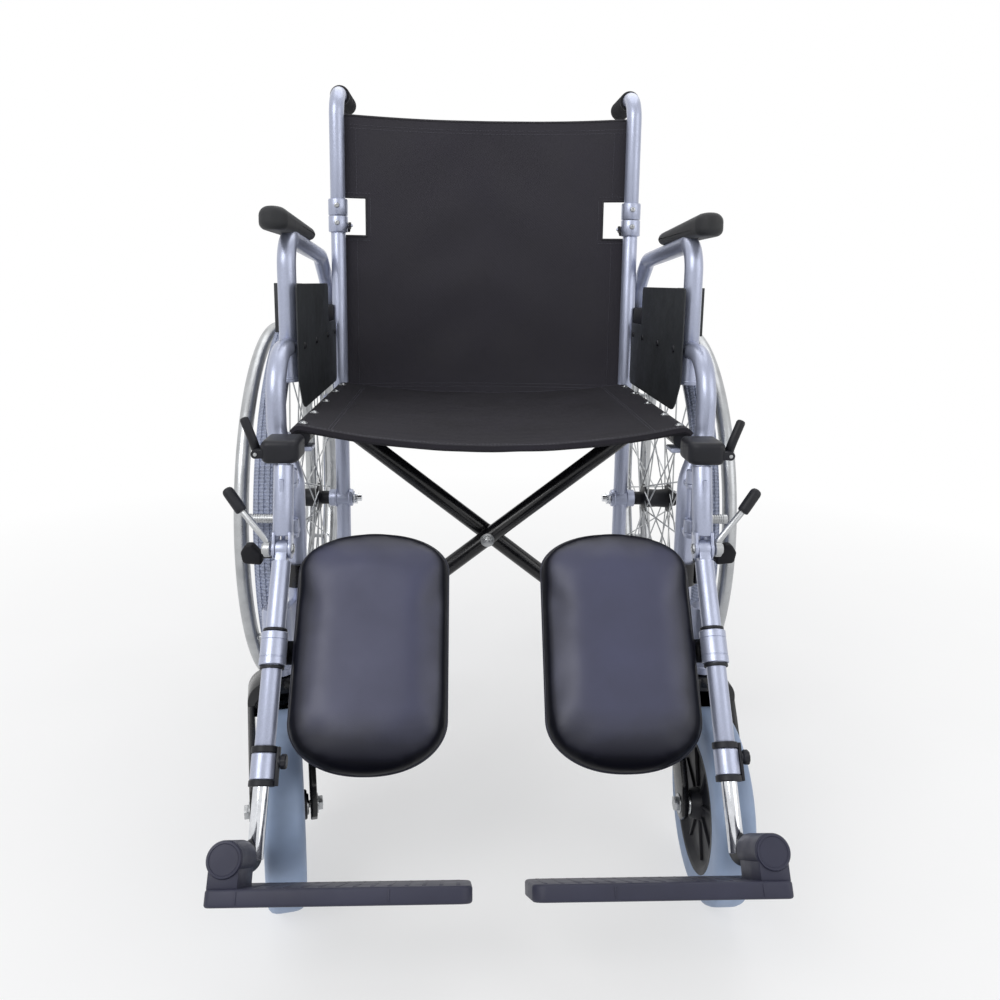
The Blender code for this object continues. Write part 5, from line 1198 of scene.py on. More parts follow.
def leg_clamp(side, word):
    """Two moulded rings joined by a spine, and the knob that tightens them."""
    x = side * LEG_X
    parts = []
    for inner, start, end in ((LEG_R + FIT, 0.1960, 0.2020), (LEG_BORE, 0.2262, 0.2320)):
        parts.append(collar(inner, 0.0124, end - start, 0.0006, leg_point(x, start), LEG_DOWN,
                            40))
    parts.append(leg_box(x + 0.0136, 0.2140, 0.0, (0.0030, 0.0070, 0.0350), 0.0006))
    middle = leg_point(x + 0.0140, 0.2100)
    knob = turned([(0.0, 0.0), (0.0044, 0.0), (0.0046, 0.0016), (0.0066, 0.0024),
                   (0.0072, 0.0036), (0.0072, 0.0068), (0.0062, 0.0079), (0.0, 0.0081)],
                  middle, (1, 0, 0), 36, closed=False)
    for vert in knob.verts:
        off = vert.co - middle
        off.x = 0
        if off.length > 0.0060:
            turn = math.atan2(off.z, off.y)
            vert.co -= off.normalized() * 0.0006 * (0.5 + 0.5 * math.cos(turn * 9))
    side_piece(word, "leg_clamp", "leg", "nylon_part", [*parts, knob], "height_clamp")


def ratchet_lever(side, word):
    """Flat silver lever with a moulded grip that frees the leg's ratchet."""
    at = places(side)
    start, end = at(0.2640, -0.4762, 0.4140), at(0.2808, -0.4712, 0.4372)
    length = (end - start).length
    grip = [(0.0, 0.0), (0.0052, 0.0), (0.0060, 0.0010), (0.0062, 0.0040),
            (0.0062, length - 0.0052), (0.0056, length - 0.0026), (0.0042, length - 0.0009),
            (0.0022, length - 0.0001), (0.0, length)]
    parts = [collar(0.0033, 0.0085, 0.0065, 0.0005, at(LEG_X + 0.0125, KNEE_Y, KNEE_Z),
                    (side, 0, 0)),
             pipe([at(0.2374, KNEE_Y, KNEE_Z + 0.0070), at(0.2400, -0.4816, 0.3860),
                   at(0.2676, -0.4750, 0.4190)], [0.008], 0.0036, 18, 8, 0.0006),
             (turned(grip, start, end - start, 32, closed=False), 1)]
    side_piece(word, "ratchet_lever", "elevation_lever", "satin nylon_part", parts,
               "elevation_lever")


def inner_leg(side, word):
    """Chromed sliding tube with the footplate's hinge block and pin."""
    x, hinge_x = side * LEG_X, side * FOOT_HINGE_X
    block = [(0.0, 0.0), (0.0126, 0.0), (0.0140, 0.0014), (0.0140, 0.0286), (0.0130, 0.0296),
             (0.0, 0.0296)]
    parts = [rod(leg_point(x, 0.1250), leg_point(x, INNER_LEG_END + 0.002), 0.0076, 36,
                 soft=0.0006),
             (turned(block, leg_point(hinge_x, INNER_LEG_END, -0.0180), LEG_AHEAD, 44,
                     closed=False), 1),
             rod(leg_point(hinge_x, INNER_LEG_END, 0.0110),
                 leg_point(hinge_x, INNER_LEG_END, 0.0600), 0.0050, 24, soft=0.0005)]
    side_piece(word, "inner_leg_tube", "inner_leg", "chrome nylon_part", parts, "inner_tube")


def foot_plate(side, word):
    """Ribbed plate with a closed barrel and its end disc round the hinge pin."""
    hinge_x = side * FOOT_HINGE_X
    top = INNER_LEG_END + 0.022
    inner, outer, forward, back, thick = 0.025, 0.247, 0.073, 0.036, 0.014
    start, end = 0.0120, forward - 0.003
    length = end - start
    outline = rounded([(inner, -forward), (outer, -forward), (outer, back), (inner, back)],
                      [0.012, 0.007, 0.007, 0.016], 8)
    face = Matrix.Translation(leg_point(0.0, top + thick / 2, 0.0)) @ LEG_TURN
    barrel = [(0.0053, 0.0), (0.0142, 0.0), (0.0150, 0.0008), (0.0150, length - 0.0022),
              (0.0128, length), (0.0, length), (0.0, 0.048), (0.0053, 0.048)]
    disc = [(0.0, 0.0), (0.0128, 0.0), (0.0130, -0.0010), (0.0148, -0.0006),
            (0.0150, 0.0010), (0.0142, 0.0024), (0.0126, 0.0026), (0.0120, 0.0018),
            (0.0, 0.0020)]
    parts = [plate([Vector((side * p.x, p.y)) for p in outline], thick, face, 0.0026, 4),
             turned(barrel, leg_point(hinge_x, INNER_LEG_END, start), LEG_AHEAD, 56,
                    closed=False),
             leg_box(hinge_x, INNER_LEG_END + 0.0140, (start + end) / 2,
                     (0.0260, length - 0.0006, 0.0190), 0.0016),
             turned(disc, leg_point(hinge_x, INNER_LEG_END, end), LEG_AHEAD, 48, closed=False)]
    for index in range(13):
        across = inner + 0.012 + index * 0.0145
        if across < FOOT_HINGE_X - 0.020:
            parts.append(leg_box(side * across, top + 0.0001, (forward - back) / 2,
                                 (0.0034, forward + back - 0.020, 0.0010), 0.0003))
    for seam in (0.0696, 0.1955):
        parts.append(leg_box(side * (inner + seam), top + thick / 2, forward + 0.0001,
                             (0.0014, 0.0012, thick - 0.004), 0.0003))
    side_piece(word, "foot_board", "footplate", "slate", parts, "footplate")


def calf_bracket(side, word):
    """Turning sleeve on the leg, and the arm behind the calf pad."""
    x, pad_x = side * LEG_X, side * (CALF_X + 0.004)
    bore, back, thick = LEG_R + 0.0004, 0.0203, 0.0038
    sleeve = [(bore, 0.0), (0.0128, 0.0), (0.0134, 0.0006), (0.0134, 0.0070),
              (0.0128, 0.0074), (0.0128, 0.0250), (0.0134, 0.0254), (0.0134, 0.0318),
              (0.0128, 0.0324), (bore, 0.0324)]
    band = [(0.0126, 0.0), (0.01325, 0.0002), (0.01325, 0.0158), (0.0126, 0.0160)]
    inner, outer = CALF_X - 0.010, LEG_X + 0.0100
    parts = [(turned(sleeve, leg_point(x, CALF_AT - 0.0162), LEG_DOWN, 44), 1),
             (turned(band, leg_point(x, CALF_AT - 0.0080), LEG_DOWN, 44), 1),
             leg_box(side * (inner + outer) / 2, CALF_AT, -back,
                     (outer - inner, 0.0040, 0.0240), 0.0009),
             leg_box(x, CALF_AT, -0.0145, (0.0180, 0.0090, 0.0236), 0.0014),
             rod(leg_point(pad_x, CALF_AT, -back - thick / 2),
                 leg_point(pad_x, CALF_AT, -back + thick / 2), 0.0240, 44, soft=0.0006)]
    for step in (-0.012, 0.012):
        parts.append((bolt_head(leg_point(pad_x, CALF_AT + step, -back - thick / 2),
                                -LEG_AHEAD, 0.0040), 1))
    side_piece(word, "calf_hinge", "calf_rest", "black silver", parts, "calf_bracket")


# Brakes
BRAKE_Y = -WHEEL_R - 0.030
BRAKE_Z = WHEEL_R + 0.017
SHOE_Z = WHEEL_R + 0.055
SHOE_Y = -math.sqrt((WHEEL_R + 0.006 + 0.009) ** 2 - (SHOE_Z - WHEEL_R) ** 2)


def brake_mount(side, word):
    """Clamp round the front post, its plate and the brake's pivot."""
    at = places(side)
    y, z = BRAKE_Y, BRAKE_Z
    outline = rounded([(FRONT_POST_Y - 0.010, z + 0.0120), (FRONT_POST_Y - 0.010, z - 0.0120),
                       (y + 0.010, z - 0.0110), (y + 0.010, z + 0.0110)],
                      [0.003, 0.003, 0.008, 0.008], 8)
    parts = [collar(TUBE_R + FIT, 0.0150, 0.0270, 0.0006,
                    at(FRONT_POST_X, FRONT_POST_Y, z - 0.0135), (0, 0, 1), 40),
             side_plate(outline, 0.0040, side * 0.2362, 0.0008),
             box(at(0.2326, FRONT_POST_Y, z), (0.0068, 0.0150, 0.0225), soft=0.001),
             rod(at(0.2350, y, z), at(0.2476, y, z), 0.0035, 22),
             (bolt_head(at(0.2457, y, z), (side, 0, 0), 0.0062, 0.0026), 1)]
    for dz in (-0.0072, 0.0072):
        parts.append((bolt_head(at(0.2382, FRONT_POST_Y - 0.002, z + dz), (side, 0, 0), 0.0034,
                                0.0016), 1))
    side_piece(word, "brake_mount", "frame", "black satin", parts, "brake_body")


def brake_handle(side, word):
    """Brake lever with a moulded grip, and the knurled shoe that meets the tyre."""
    at = places(side)
    y, z = BRAKE_Y, BRAKE_Z
    reach = Vector((0, SHOE_Y - y, SHOE_Z - z))
    shoe_start = 0.2395
    shoe = WHEEL_X + 0.0180 - shoe_start
    grooves = [(0.0, 0.0), (0.0054, 0.0), (0.0060, 0.0006)]
    for index in range(14):
        groove = 0.0160 + index * 0.0028
        if groove + 0.002 < shoe:
            grooves += [(0.0060, groove), (0.0054, groove + 0.0005), (0.0054, groove + 0.0013),
                        (0.0060, groove + 0.0018)]
    grooves += [(0.0060, shoe - 0.0006), (0.0054, shoe), (0.0, shoe)]
    paddle = rounded([(0.2660, -0.0100), (0.2875, -0.0080), (0.2900, 0.0050),
                      (0.2840, 0.0145), (0.2770, 0.0145), (0.2660, 0.0030)],
                     [0.003, 0.005, 0.005, 0.005, 0.004, 0.003])
    parts = [collar(0.0038, 0.0090, 0.0062, 0.0006, at(0.2388, y, z), (side, 0, 0)),
             box(at(0.2419, (y + SHOE_Y) / 2, (z + SHOE_Z) / 2),
                 (0.0054, 0.0100, reach.length + 0.004),
                 Matrix.Rotation(math.atan2(-reach.y, reach.z), 4, "X"), 0.0009),
             (turned(grooves, at(shoe_start, SHOE_Y, SHOE_Z), (side, 0, 0), 28, closed=False),
              1),
             pipe([at(0.2431, y - 0.0076, z + 0.0020), at(0.2450, y - 0.0200, z + 0.0050),
                   at(0.2820, y - 0.0510, z + 0.0135)], [0.008], 0.0040, 18, 6, 0.0006),
             (plate([Vector((side * p.x, p.y)) for p in paddle], 0.0150,
                    Matrix.Translation(place(0, y - 0.0480, z + 0.0130))
                    @ Matrix.Rotation(math.radians(90), 4, "X"), 0.0050, 4), 2)]
    side_piece(word, "brake_handle", "brake", "black satin rubber", parts, "brake_lever")


# Padded boards behind the calves
SWELL_FRAMES = 20
CALF_FLAT_BACK = 0.0178


def swell(item, voxel, pressure, cap, held):
    """Remesh a closed pad, blow it up as cloth while the held points stay, and cap how
    far any point moves."""
    scene = bpy.context.scene
    grid = item.modifiers.new("grid", "REMESH")
    grid.mode = "VOXEL"
    grid.voxel_size = voxel
    settled(item)
    start = [vert.co.copy() for vert in item.data.vertices]
    pins = item.vertex_groups.new(name="held")
    pins.add([index for index, co in enumerate(start) if held(co)], 1.0, "REPLACE")
    cover = item.modifiers.new("cloth", "CLOTH").settings
    cover.quality = 5
    cover.mass = 0.3
    cover.use_pressure = True
    cover.uniform_pressure_force = pressure
    cover.vertex_group_mass = "held"
    cover.effector_weights.gravity = 0.0
    for moment in range(1, SWELL_FRAMES + 1):
        scene.frame_set(moment)
    settled(item)
    scene.frame_set(1)
    for vert, before in zip(item.data.vertices, start):
        move = vert.co - before
        if move.length > cap:
            vert.co = before + move.normalized() * cap
    item.vertex_groups.clear()


def soften_cover(mesh, loose, rounds):
    """Ease the creases out of the loose part of a cover."""
    bm = bmesh.new()
    bm.from_mesh(mesh)
    verts = [vert for vert in bm.verts if loose(vert.co)]
    for _ in range(rounds):
        bmesh.ops.smooth_vert(bm, verts=verts, factor=0.5, use_axis_x=True, use_axis_y=True,
                              use_axis_z=True)
    bm.to_mesh(mesh)
    bm.free()


def evaluated_mesh(item):
    """An object's mesh after its modifiers or its bevel."""
    graph = bpy.context.evaluated_depsgraph_get()
    graph.update()
    return bpy.data.meshes.new_from_object(item.evaluated_get(graph), depsgraph=graph)


def settled(item):
    """Apply an object's modifiers to its mesh."""
    made = evaluated_mesh(item)
    old = item.data
    item.modifiers.clear()
    item.data = made
    bpy.data.meshes.remove(old)


def calf_outline(half_width, half_length, count=72):
    """Straight-sided oval whose foot is rounder than its top."""
    points = []
    for index in range(count):
        turn = 2 * math.pi * (index + 0.5) / count
        crown = 0.050 if math.sin(turn) < 0 else 0.040
        straight = half_length - crown
        across = half_width * math.copysign(abs(math.cos(turn)) ** 0.9, math.cos(turn))
        points.append(Vector((across, math.copysign(straight, math.sin(turn))
                              + crown * math.sin(turn))))
    return points


def calf_cushion(side, word):
    """Vinyl-covered foam on a board: crowned in front, held at its rim and stapled flat
    behind, with a welt round the rim."""
    half_width, half_length, thick = 0.0782, 0.1213, 0.0290
    place_in = (Matrix.Translation(leg_point(side * CALF_X, CALF_AT - 0.001)) @ LEG_TURN
                @ Matrix.Rotation(math.radians(90), 4, "X"))
    back = place_in.inverted()
    item = as_object(f"{word}_calf_cushion", plate(
        calf_outline(half_width, half_length), thick,
        place_in @ Matrix.Translation((0, 0, -0.0010)), 0.0138, 7))
    rise = bpy.context.scene.chair_sizes.calf_rise
    swell(item, 0.0045, 5.0, rise, lambda co: (back @ co).z < -0.0075)
    soften_cover(item.data, lambda co: (back @ co).z > -0.0060, 14)
    finer = item.modifiers.new("finer", "SUBSURF")
    finer.levels = finer.render_levels = 1
    settled(item)
    # Painted shade, stored as the attribute rim: more where faces turn from the pad's front,
    # towards its foot, top, outer flank and inner edge, and a little more lower down.
    shade = item.data.attributes.new("rim", "FLOAT", "POINT")
    facing = (place_in.to_3x3() @ Vector((0, 0, 1))).normalized()
    for index, vert in enumerate(item.data.vertices):
        local = back @ vert.co
        turned_away_shade = 1 - max(0.0, vert.normal.dot(facing))
        up, out = local.y / half_length, side * local.x / half_width
        foot, head = max(0.0, (-up - 0.50) / 0.50), max(0.0, (up - 0.78) / 0.22)
        flank, inside = max(0.0, (out - 0.60) / 0.40), max(0.0, (-out - 0.86) / 0.14)
        shade.data[index].value = min(1.0, 1.5 * turned_away_shade + 0.60 * foot + 0.35 * head
                                      + 0.55 * flank * flank + 0.40 * inside
                                      + 0.05 * (1 - up))
        if abs(local.z) > CALF_FLAT_BACK:
            most = CALF_FLAT_BACK + (0.004 if local.z > 0 else 0)
            local.z = math.copysign(min(abs(local.z), most), local.z)
            vert.co = place_in @ local
    dress(item, f"{word}_calf_rest", "vinyl", [f"{word}_calf_pad"], 180)
    ring = [place_in @ Vector((p.x * 0.972, p.y * 0.980, -0.0070))
            for p in calf_outline(half_width, half_length, 96)]
    piece(f"{word}_calf_welt", f"{word}_calf_rest", "vinyl_dark",
          [cord_shape(ring, 0.0024, closed=True)], sharp=180)
    board = plate(calf_outline(half_width - 0.010, half_length - 0.010), 0.0024,
                  place_in @ Matrix.Translation((0, 0, -0.0168)), 0.0006)
    piece(f"{word}_calf_board", f"{word}_calf_rest", "nylon_part", [board])


def cord_shape(points, radius, closed=False):
    """A slim round cord through points, closed on itself or capped at its ends."""
    curve = bpy.data.curves.new("cord", "CURVE")
    curve.dimensions = "3D"
    curve.bevel_depth = radius
    curve.bevel_resolution = 2
    curve.use_fill_caps = not closed
    line = curve.splines.new("POLY")
    line.points.add(len(points) - 1)
    for knot, point in zip(line.points, points):
        knot.co = (*point, 1.0)
    line.use_cyclic_u = closed
    item = bpy.data.objects.new("cord", curve)
    bpy.context.scene.collection.objects.link(item)
    mesh = evaluated_mesh(item)
    bm = bmesh.new()
    bm.from_mesh(mesh)
    bmesh.ops.remove_doubles(bm, verts=bm.verts, dist=0.00001)
    bmesh.ops.recalc_face_normals(bm, faces=bm.faces)
    bpy.data.objects.remove(item)
    bpy.data.curves.remove(curve)
    bpy.data.meshes.remove(mesh)
    return bm


# Seat and back cloth
CLOTH_THICK = 0.0016
CLOTH_CLEAR = 0.0008
CLOTH_CELL = 0.00414
STITCH_R = 0.00045
STITCH_LENGTH = 0.0030


def along(points, share):
    """The point and the direction at a share of a polyline's length."""
    lengths = [(b - a).length for a, b in zip(points, points[1:])]
    left = share * sum(lengths)
    for start, end, length in zip(points, points[1:], lengths):
        if left <= length or end is points[-1]:
            return start.lerp(end, left / length), (end - start).normalized()
        left -= length


def cloth(name, columns, rows, flat, at, gone=None):
    """A sheet cut to a flat size, put in place by a function of its own shares, with
    the flat sizes kept in the map named cloth."""
    bm = bmesh.new()
    bmesh.ops.create_grid(bm, x_segments=columns, y_segments=rows, size=0.5)
    if gone:
        bmesh.ops.delete(bm, geom=[f for f in bm.faces
                                   if gone(f.calc_center_median().x + 0.5,
                                           f.calc_center_median().y + 0.5)],
                         context="FACES")
    chart = bm.loops.layers.uv.new("cloth")
    for face in bm.faces:
        for loop in face.loops:
            loop[chart].uv = ((loop.vert.co.x + 0.5) * flat[0],
                              (loop.vert.co.y + 0.5) * flat[1])
    for vert in bm.verts:
        vert.co = at(vert.co.x + 0.5, vert.co.y + 0.5)
    item = as_object(name, bm)
    wall = item.modifiers.new("thickness", "SOLIDIFY")
    wall.thickness = CLOTH_THICK
    wall.offset = 0.0
    settled(item)
    return item


def stitch(here, near, lift):
    """A short raised stitch over the cloth at a point, towards the next of its seam."""
    at, way = here + lift, (near - here).normalized()
    return rod(at - way * STITCH_LENGTH / 2, at + way * STITCH_LENGTH / 2, STITCH_R, 6)


SEAT_SAG = 0.022
SEAT_WRAP = math.radians(58)


def tension(x, y, size, seed):
    """Smooth cloth unevenness between minus one and one."""
    return noise.noise(Vector((x / size, y / size, seed)))


def seat_line(slack):
    """Half of the seat's section, from its middle out over a seat tube."""
    over = TUBE_R + CLOTH_CLEAR + CLOTH_THICK / 2
    lean = math.atan(2 * SEAT_SAG / SEAT_TUBE_X)
    edge_x, edge_z = SEAT_TUBE_X - over * math.sin(lean), over * math.cos(lean)
    points = []
    for step in range(17):
        part = step / 16
        points.append(Vector((edge_x * part, edge_z - SEAT_SAG * slack * (1 - part * part))))
    for step in range(1, 11):
        turn = -lean + (SEAT_WRAP + lean) * step / 10
        points.append(Vector((SEAT_TUBE_X + over * math.sin(turn), over * math.cos(turn))))
    return points


SEAT_FRONT, SEAT_REAR = -0.407, -0.017
SEAT_FLAT = (0.470, 0.4088)
SEAT_HEM_R = 0.0030
SEAT_STEPS = 20
SEAT_LINES = [seat_line(1.0 - 0.35 * step / SEAT_STEPS) for step in range(SEAT_STEPS + 1)]
SEAT_SCREWS_Y = (-0.388, -0.313, -0.218, -0.123, -0.048)


def seat_at(u, v):
    """Where a share of the seat cloth's flat width and length lies."""
    roll = math.pi * SEAT_HEM_R
    run = v * SEAT_FLAT[1]
    turn = 0.0
    if run < roll:
        turn, reach = (roll - run) / SEAT_HEM_R, -1
    elif run > SEAT_FLAT[1] - roll:
        turn, reach = (run - SEAT_FLAT[1] + roll) / SEAT_HEM_R, 1
    y = SEAT_FRONT + SEAT_HEM_R + run - roll
    if turn:
        edge = SEAT_FRONT + SEAT_HEM_R if reach < 0 else SEAT_REAR - SEAT_HEM_R
        y = edge + reach * SEAT_HEM_R * math.sin(turn)
    part = min(1.0, max(0.0, (y - SEAT_FRONT) / (SEAT_REAR - SEAT_FRONT)))
    point, way = along(SEAT_LINES[round(part * SEAT_STEPS)], abs(2 * u - 1))
    side = 1 if u >= 0.5 else -1
    down = SEAT_HEM_R * (1 - math.cos(turn))
    free = max(0.0, 1 - (point.x / (SEAT_TUBE_X - 0.018)) ** 2)
    pull = 0.0016 * tension(side * point.x, y, 0.09, 1.7) * free
    pull += 0.0007 * tension(side * point.x * 0.6, y * 2.2, 0.02, 4.1) * free
    x = point.x + way.y * down
    z = point.y - way.x * down + pull
    return place(side * x, y, SEAT_TUBE_Z + z)


def seat_cloth():
    """Seat cloth laid over both seat tubes, screwed to them, with rolled front and rear
    hems and sewn side seams."""
    item = cloth("seat_cloth", 112, 96, SEAT_FLAT, seat_at)
    hems = [0.0120 / SEAT_FLAT[1], 0.0160 / SEAT_FLAT[1], 1 - 0.0130 / SEAT_FLAT[1]]
    seams = [(0.035 + 0.93 * (index + 0.5) / 96, v, 0.002, 0)
             for v in hems for index in range(96)]
    seams += [(0.5 + sign * share / 2, 0.04 + 0.92 * (index + 0.5) / 84, 0, 0.002)
              for share in (0.795, 0.81) for sign in (-1, 1) for index in range(84)]
    lift = Vector((0, 0, CLOTH_THICK / 2))
    sewn = piece("seat_stitches", None, "thread", [
        stitch(seat_at(u, v), seat_at(u + du, v + dv), lift) for u, v, du, dv in seams])
    dress(item, None, "seat_cloth", ["seat_sling"], 50)
    for thing in (item, sewn):
        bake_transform(thing)
    washer = [(0.0, -0.004), (0.0052, -0.0004), (0.0052, 0.0004), (0.0046, 0.0008),
              (0.0, 0.0008)]
    for sign, body, word in ((1, "cross_b", "left"), (-1, "cross_a", "right")):
        parts = []
        out = Matrix.Rotation(math.radians(-6 * sign), 3, "Y") @ Vector((0, 0, 1))
        for y in SEAT_SCREWS_Y:
            foot = place(sign * SEAT_TUBE_X, y, SEAT_TUBE_Z) + out * (
                TUBE_R + CLOTH_CLEAR + CLOTH_THICK)
            parts += [turned(washer, foot, out, 28, closed=False),
                      bolt_head(foot + out * 0.0006, out, 0.0036, 0.0016)]
        piece(f"{word}_seat_screws", body, "satin", parts)


BACK_HALF, BACK_INNER = 0.2225, 0.1815
BACK_LOW, BACK_HIGH = 0.468, 0.890
NOTCH = (0.713, 0.771)


def back_at(x, z):
    """Where the back cloth lies at a distance from its middle and a height."""
    hollow = 0.020 * (1 - min(1.0, abs(x) / (POST_X - TUBE_R)) ** 2)
    free = max(0.0, 1 - (abs(x) / 0.205) ** 2)
    y = post_y(z) + TUBE_R + CLOTH_CLEAR + CLOTH_THICK / 2 + hollow
    y += 0.0026 * tension(x, z, 0.085, 7.3) * free
    y += 0.0012 * math.sin((z - 0.70) * 52 + abs(x) * 34) * free * free
    drop = 0.0035 * free * ((z - BACK_LOW) / (BACK_HIGH - BACK_LOW)) ** 4
    return place(x, y, z - drop)


def back_half(name, low, high, body):
    """One half of the back cloth with its hems, sewn seams and notches."""
    upper = high == BACK_HIGH
    inward = -1 if upper else 1
    outer_edge, notch_edge = (high, NOTCH[1]) if upper else (low, NOTCH[0])
    width, height = 2 * BACK_HALF, high - low
    sizes = bpy.context.scene.chair_sizes

    def notched(u, v):
        return abs(u - 0.5) * width > BACK_INNER and NOTCH[0] < low + v * height < NOTCH[1]

    item = cloth(name, 108, round(height / CLOTH_CELL), (width, height), lambda u, v:
                 back_at((u - 0.5) * width, low + v * height), notched)
    sewn, bound = [], []
    lift = Vector((0, -CLOTH_THICK / 2 - 0.0001, 0))

    def between(start, end, part):
        return back_at(*(a + (b - a) * part for a, b in zip(start, end)))

    def run(start, end):
        count = max(2, round(math.dist(start, end) / sizes.stitch_step))
        for index in range(count):
            part = (index + 0.5) / count
            sewn.append(stitch(between(start, end, part), between(start, end, part + 0.01),
                               lift))

    def hem(start, end):
        count = max(2, round(math.dist(start, end) / 0.006))
        bound.append(cord_shape([between(start, end, index / count)
                                 for index in range(count + 1)], sizes.hem_radius))

    edge = outer_edge + inward * 0.0004
    hem((-BACK_HALF + 0.002, edge), (BACK_HALF - 0.002, edge))
    for step in (0.013, 0.018):
        row = edge + inward * step
        run((-BACK_HALF + 0.004, row), (BACK_HALF - 0.004, row))
    for sign in (-1, 1):
        inner, outer = sign * BACK_INNER, sign * BACK_HALF
        inner_seam, side_seam = sign * (BACK_INNER - 0.006), sign * 0.196
        hem((outer, notch_edge), (inner, notch_edge))
        hem((inner, notch_edge), (inner, HINGE_Z))
        hem((outer, notch_edge), (outer, outer_edge))
        run((side_seam, notch_edge - inward * 0.004), (side_seam, outer_edge + inward * 0.018))
        run((inner_seam, notch_edge), (inner_seam, HINGE_Z))
        run((inner_seam, notch_edge - inward * 0.006),
            (sign * (BACK_HALF - 0.004), notch_edge - inward * 0.006))
    sewn = piece(f"{name}_stitches", body, "thread", sewn)
    bound = piece(f"{name}_hems", body, "hem_cloth", bound)
    dress(item, body, "back_cloth", () if upper else ["back_sling"], 50)
    for thing in (item, sewn, bound):
        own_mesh(thing)


def back_cloth():
    """Back cloth in two halves that part at the folding hinges."""
    back_half("back_cloth_lower", BACK_LOW, HINGE_Z, "left_frame")
    back_half("back_cloth_upper", HINGE_Z, BACK_HIGH, "left_upper_back")
    parts = [bolt_head(back_at(sign * 0.2150, z) + Vector((0, CLOTH_THICK / 2, 0)), (0, 1, 0),
                       0.0042, 0.0018) for sign in (-1, 1) for z in (0.515, 0.600, 0.690)]
    screws = piece("back_screws", "left_frame", "satin", parts)
    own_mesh(screws)


# Stage
def floor_paint():
    """Matt off-white paper, rolled out under the chair."""
    made, tree, shader, where = surface("white backdrop paper", Roughness=0.9)
    tone = speckle(tree, where, 240.0, 2.0)
    drive(tree, shader, Base_Color=shades(tree, tone, (0.3, "#f4f4f4"), (0.7, "#f8f8f8")))
    away = node(tree, "ShaderNodeVectorMath", {0: where}, operation="LENGTH")
    fade = node(tree, "ShaderNodeMapRange", {"Value": away.outputs["Value"], "From Min": 0.35,
                                             "From Max": 1.7, "To Min": 0.55, "To Max": 1.0})
    seen = node(tree, "ShaderNodeMath", {0: fade.outputs[0], 1: seen_directly(tree)},
                operation="MULTIPLY")
    glow = node(tree, "ShaderNodeEmission", {"Color": (1, 1, 1, 1), "Strength": 1.0})
    mixed = node(tree, "ShaderNodeMixShader", {"Fac": seen.outputs[0],
                                               1: shader.outputs["BSDF"],
                                               2: glow.outputs[0]})
    out = next(n for n in tree.nodes if n.bl_idname == "ShaderNodeOutputMaterial")
    tree.links.new(mixed.outputs[0], out.inputs["Surface"])
    return made


def seen_directly(tree):
    """One for rays that show the background: the camera's, mirrored and passing ones."""
    rays = node(tree, "ShaderNodeLightPath")
    seen = rays.outputs["Is Camera Ray"]
    for ray in ("Is Glossy Ray", "Is Transmission Ray"):
        seen = node(tree, "ShaderNodeMath", {0: seen, 1: rays.outputs[ray]},
                    operation="MAXIMUM").outputs[0]
    return seen


def lamp(name, at, target, size, power):
    """A square soft light aimed at a point."""
    light = bpy.data.lights.new(name, "AREA")
    light.size = size
    light.energy = power
    item = bpy.data.objects.new(name, light)
    item.location = at
    item.rotation_mode = "QUATERNION"
    item.rotation_quaternion = (Vector(target) - Vector(at)).to_track_quat("-Z", "Y")
    bpy.context.scene.collection.objects.link(item)


CAMERA_AT = (-0.0380, -1.1600, 0.6628)
CAMERA_TURNS = (0.0412875, 0.190166, -0.0127326)


def photo_camera():
    """The camera where the photographer stood, a little to the chair's right."""
    yaw, pitch, roll = CAMERA_TURNS
    ahead = Vector((math.sin(yaw) * math.cos(pitch), math.cos(yaw) * math.cos(pitch),
                    -math.sin(pitch)))
    level = Vector((math.cos(yaw), -math.sin(yaw), 0.0))
    up = level.cross(ahead)
    right = level * math.cos(roll) - up * math.sin(roll)
    top = up * math.cos(roll) + level * math.sin(roll)
    lens = bpy.data.cameras.new("photo camera")
    lens.sensor_width = 36.0
    lens.lens = 31.687
    lens.shift_x = 0.005
    lens.shift_y = -0.0593
    item = bpy.data.objects.new("photo camera", lens)
    item.matrix_world = (Matrix.Translation(CAMERA_AT)
                         @ Matrix((right, top, -ahead)).transposed().to_4x4())
    bpy.context.scene.collection.objects.link(item)
    bpy.context.scene.camera = item


def white_world():
    """Soft grey light from all round, and white wherever the background is seen."""
    world = bpy.data.worlds.new("studio")
    bpy.context.scene.world = world
    world.use_nodes = True
    tree = world.node_tree
    tree.nodes.clear()
    soft = node(tree, "ShaderNodeBackground",
                {"Color": linear("#f2f4f8"), "Strength": 0.45})
    plain = node(tree, "ShaderNodeBackground", {"Color": (1, 1, 1, 1), "Strength": 1.0})
    mixed = node(tree, "ShaderNodeMixShader", {"Fac": seen_directly(tree),
                                               1: soft.outputs[0], 2: plain.outputs[0]})
    node(tree, "ShaderNodeOutputWorld", {"Surface": mixed.outputs[0]})


def stage():
    """Floor, lights, world and camera."""
    bpy.context.scene.view_settings.view_transform = "Standard"
    bm = bmesh.new()
    bmesh.ops.create_grid(bm, x_segments=8, y_segments=8, size=6.0)
    floor = as_object("floor", bm)
    floor.data.materials.append(floor_paint())
    lamp("key light", (-1.7, -2.3, 2.5), (0, 0, 0.5), 2.0, 50)
    lamp("fill light", (2.3, -1.7, 1.5), (0, 0, 0.5), 2.2, 18)
    lamp("top light", (0.2, 1.0, 2.9), (0, 0, 0.4), 2.6, 26)
    white_world()
    photo_camera()


# Settings
def colour(label, code, text):
    """A colour setting given as an sRGB hex code."""
    return bpy.props.FloatVectorProperty(name=label, description=text, subtype="COLOR",
                                         size=3, min=0.0, max=1.0, default=linear(code)[:3])


